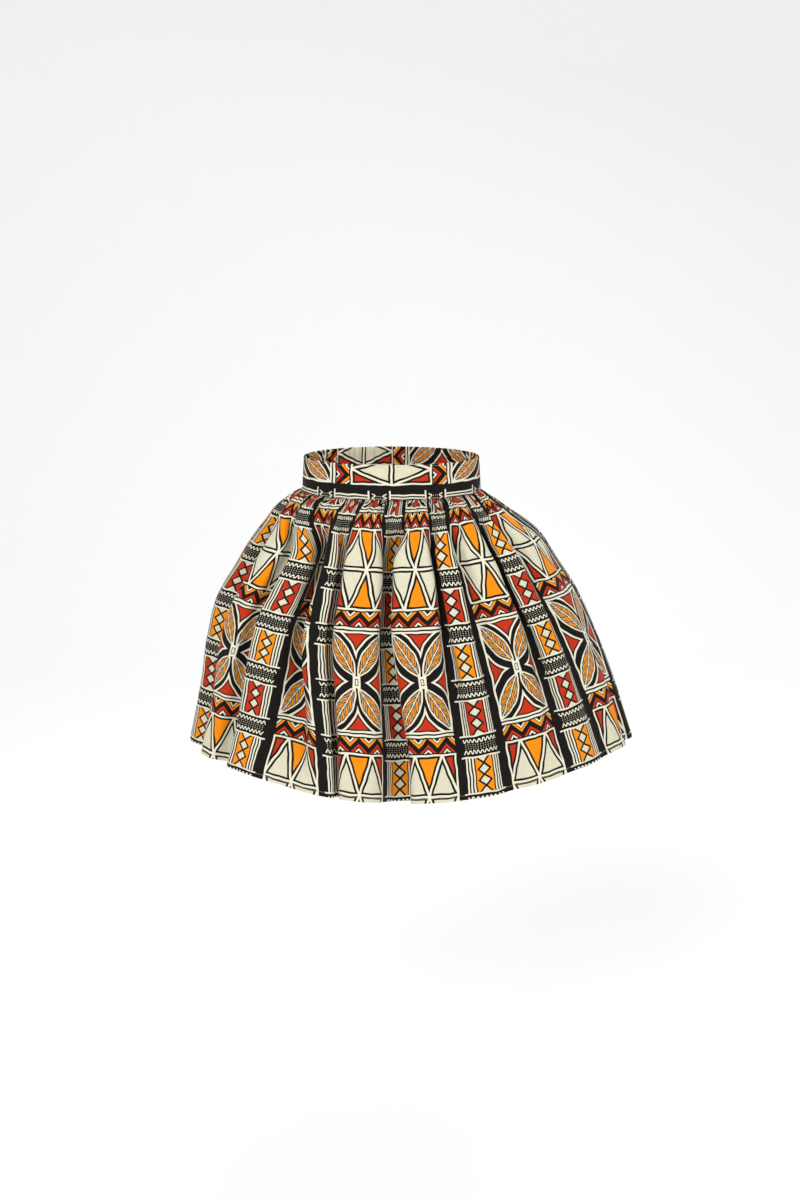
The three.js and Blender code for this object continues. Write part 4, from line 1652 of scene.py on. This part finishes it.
@dataclass(frozen=True)
class Sweep:
    """A plain pale floor whose back edge bends up into a wall. Millimetres."""

    floor_z: float = -1050.0
    half_width: float = 6000.0
    front: float = -6000.0
    bend_from: float = 2500.0
    bend_radius: float = 1800.0
    wall_height: float = 7000.0
    bend_points: int = 17
    grey: float = 0.86
    roughness: float = 0.8

    def build(self) -> None:
        """Makes the sweep as one profile, floor, quarter circle and wall, carried across."""
        bend = np.linspace(0, math.pi / 2, self.bend_points)
        start, radius = self.bend_from, self.bend_radius
        y = np.concatenate([[self.front], start + radius * np.sin(bend), [start + radius]])
        z = np.concatenate([[0.0], radius * (1 - np.cos(bend)), [self.wall_height]]) + self.floor_z
        x = np.array([-self.half_width, self.half_width])
        points = np.stack(np.broadcast_arrays(x[None, :], y[:, None], z[:, None]), -1)
        number = np.arange(points.size // 3).reshape(len(y), 2)
        faces = np.stack([number[:-1, 0], number[:-1, 1], number[1:, 1], number[1:, 0]], -1)
        material, _, shader = fresh_material("pale_floor")
        shader.inputs["Base Color"].default_value = (self.grey, self.grey, self.grey, 1.0)
        shader.inputs["Roughness"].default_value = self.roughness
        mesh_object("floor", points.reshape(-1, 3), faces, material)


@dataclass(frozen=True)
class Studio:
    """A plain pale floor that sweeps up behind, soft lights, and the camera. Metres and watts."""

    sweep: Sweep = Sweep()
    lights: tuple[SoftLight, ...] = (
        SoftLight("key", (-1.6, -3.0, 2.2), 2.2, 88.0),
        SoftLight("fill", (2.2, -2.6, 1.2), 2.4, 38.0),
        SoftLight("back", (0.6, 2.2, 2.4), 2.0, 45.0),
    )
    sky: float = 0.75
    camera_at: Triple = (0.0137, -3.3, 0.5925)
    camera_tilt: float = 76.3
    lens: float = 62.28
    far: float = 50.0

    def build(self) -> None:
        """Makes the sweep, the lights, the world and the camera."""
        self.sweep.build()
        for light in self.lights:
            light.build()
        scene = bpy.context.scene
        scene.world = bpy.data.worlds.new("studio")
        scene.world.use_nodes = True
        background = scene.world.node_tree.nodes["Background"]
        background.inputs[0].default_value = (1.0, 1.0, 1.0, 1.0)
        background.inputs[1].default_value = self.sky
        camera = bpy.data.cameras.new("camera")
        camera.lens = self.lens
        camera.clip_end = self.far
        scene.camera = bpy.data.objects.new("camera", camera)
        scene.camera.location = self.camera_at
        scene.camera.rotation_euler = (math.radians(self.camera_tilt), 0.0, 0.0)
        scene.collection.objects.link(scene.camera)
        scene.view_settings.view_transform = "Standard"


# ---- Creases, listed one by one -------------------------------------------------------------------
# A row for each: where it starts and ends as cloth distances across and down, then its width, its
# height, negative for a trough, and its bow.
FRONT_CREASES = tuple(Crease(*row) for row in (
    (806, 36, 838, 118, 6.5, -3.6, 5),
    (822, 30, 862, 96, 8, 2.6, 4),
    (646, 28, 634, 92, 7, -2.6, -3),
    (700, 24, 712, 88, 6, 2.4, 3),
    (494, 30, 470, 104, 8, -2.8, -4),
    (540, 26, 548, 84, 6, 2.2, 2),
    (330, 40, 296, 128, 9, -2.6, 6),
    (268, 34, 248, 112, 7, 2.4, -4),
    (140, 46, 96, 150, 10, 2.6, 5),
    (930, 34, 962, 122, 8, -2.4, -4),
    (1010, 44, 1046, 138, 9, 2.2, 4),
    (18, 150, 92, 246, 12, -2.4, 6),
    (1058, 158, 984, 250, 12, -2.2, -6),
    (286, 238, 262, 380, 16, 2.4, 6),
    (498, 210, 506, 330, 14, -1.8, -5),
    (672, 254, 684, 392, 17, 2.2, 6),
    (858, 226, 838, 352, 15, -2.0, -6),
))
BACK_CREASES = tuple(Crease(*row) for row in (
    (64, 38, 96, 126, 8, -2.6, 4),
    (152, 30, 138, 104, 7, 2.4, -3),
    (238, 34, 262, 112, 8, -2.8, 4),
    (330, 28, 318, 96, 7, 2.2, -3),
    (428, 36, 456, 120, 9, -2.4, 5),
    (516, 30, 500, 92, 6, 2.6, -3),
    (612, 34, 640, 118, 8, -2.8, 4),
    (706, 28, 694, 90, 7, 2.2, -2),
    (802, 40, 828, 130, 9, -2.2, 5),
    (894, 32, 880, 98, 7, 2.4, -3),
    (992, 36, 1020, 124, 9, -2.6, 4),
    (1064, 46, 1100, 148, 10, 2.2, 5),
    (20, 156, 90, 250, 12, -2.2, 6),
    (1122, 160, 1050, 254, 12, -2.2, -6),
    (210, 232, 232, 372, 16, 2.2, 6),
    (470, 246, 452, 388, 16, -2.0, -6),
    (748, 224, 766, 350, 15, 2.2, 5),
    (948, 250, 930, 384, 16, -2.0, -5),
))


def main() -> None:
    """Builds the pieces in order."""
    logging.basicConfig(level=logging.INFO, format="%(name)s: %(message)s")
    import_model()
    cotton = PrintedCotton("printed_cotton").material(WaxPrint().group(), CottonWeave().group())
    thread = SewingThread("tan_thread", (0.50, 0.45, 0.30)).material()
    front = GatheredPanel(
        "skirt_front",
        FRONT_FOLDS,
        FRONT_CLOTH,
        gathers=Gathers(count=20),
        relief=FineRelief(FRONT_CREASES),
        front=True,
        print_shift=0.0,
    )
    back = GatheredPanel(
        "skirt_back",
        BACK_FOLDS,
        BACK_CLOTH,
        gathers=Gathers(count=21),
        relief=FineRelief(BACK_CREASES),
        front=False,
        print_shift=57.0,
    )
    front_band = WaistbandHalf("waistband_front", from_turn=-90.0, columns=160, elastic=False)
    back_band = WaistbandHalf("waistband_back", from_turn=90.0, columns=420, elastic=True, gather=1.15)
    leaves = [PocketLeaf(side, is_back) for side in (-1, 1) for is_back in (False, True)]
    for piece in (front, back, front_band, back_band, *leaves):
        piece.build(cotton)
    sew_all(front, back, front_band, back_band, thread)
    Studio().build()


if __name__ == "__main__":
    main()
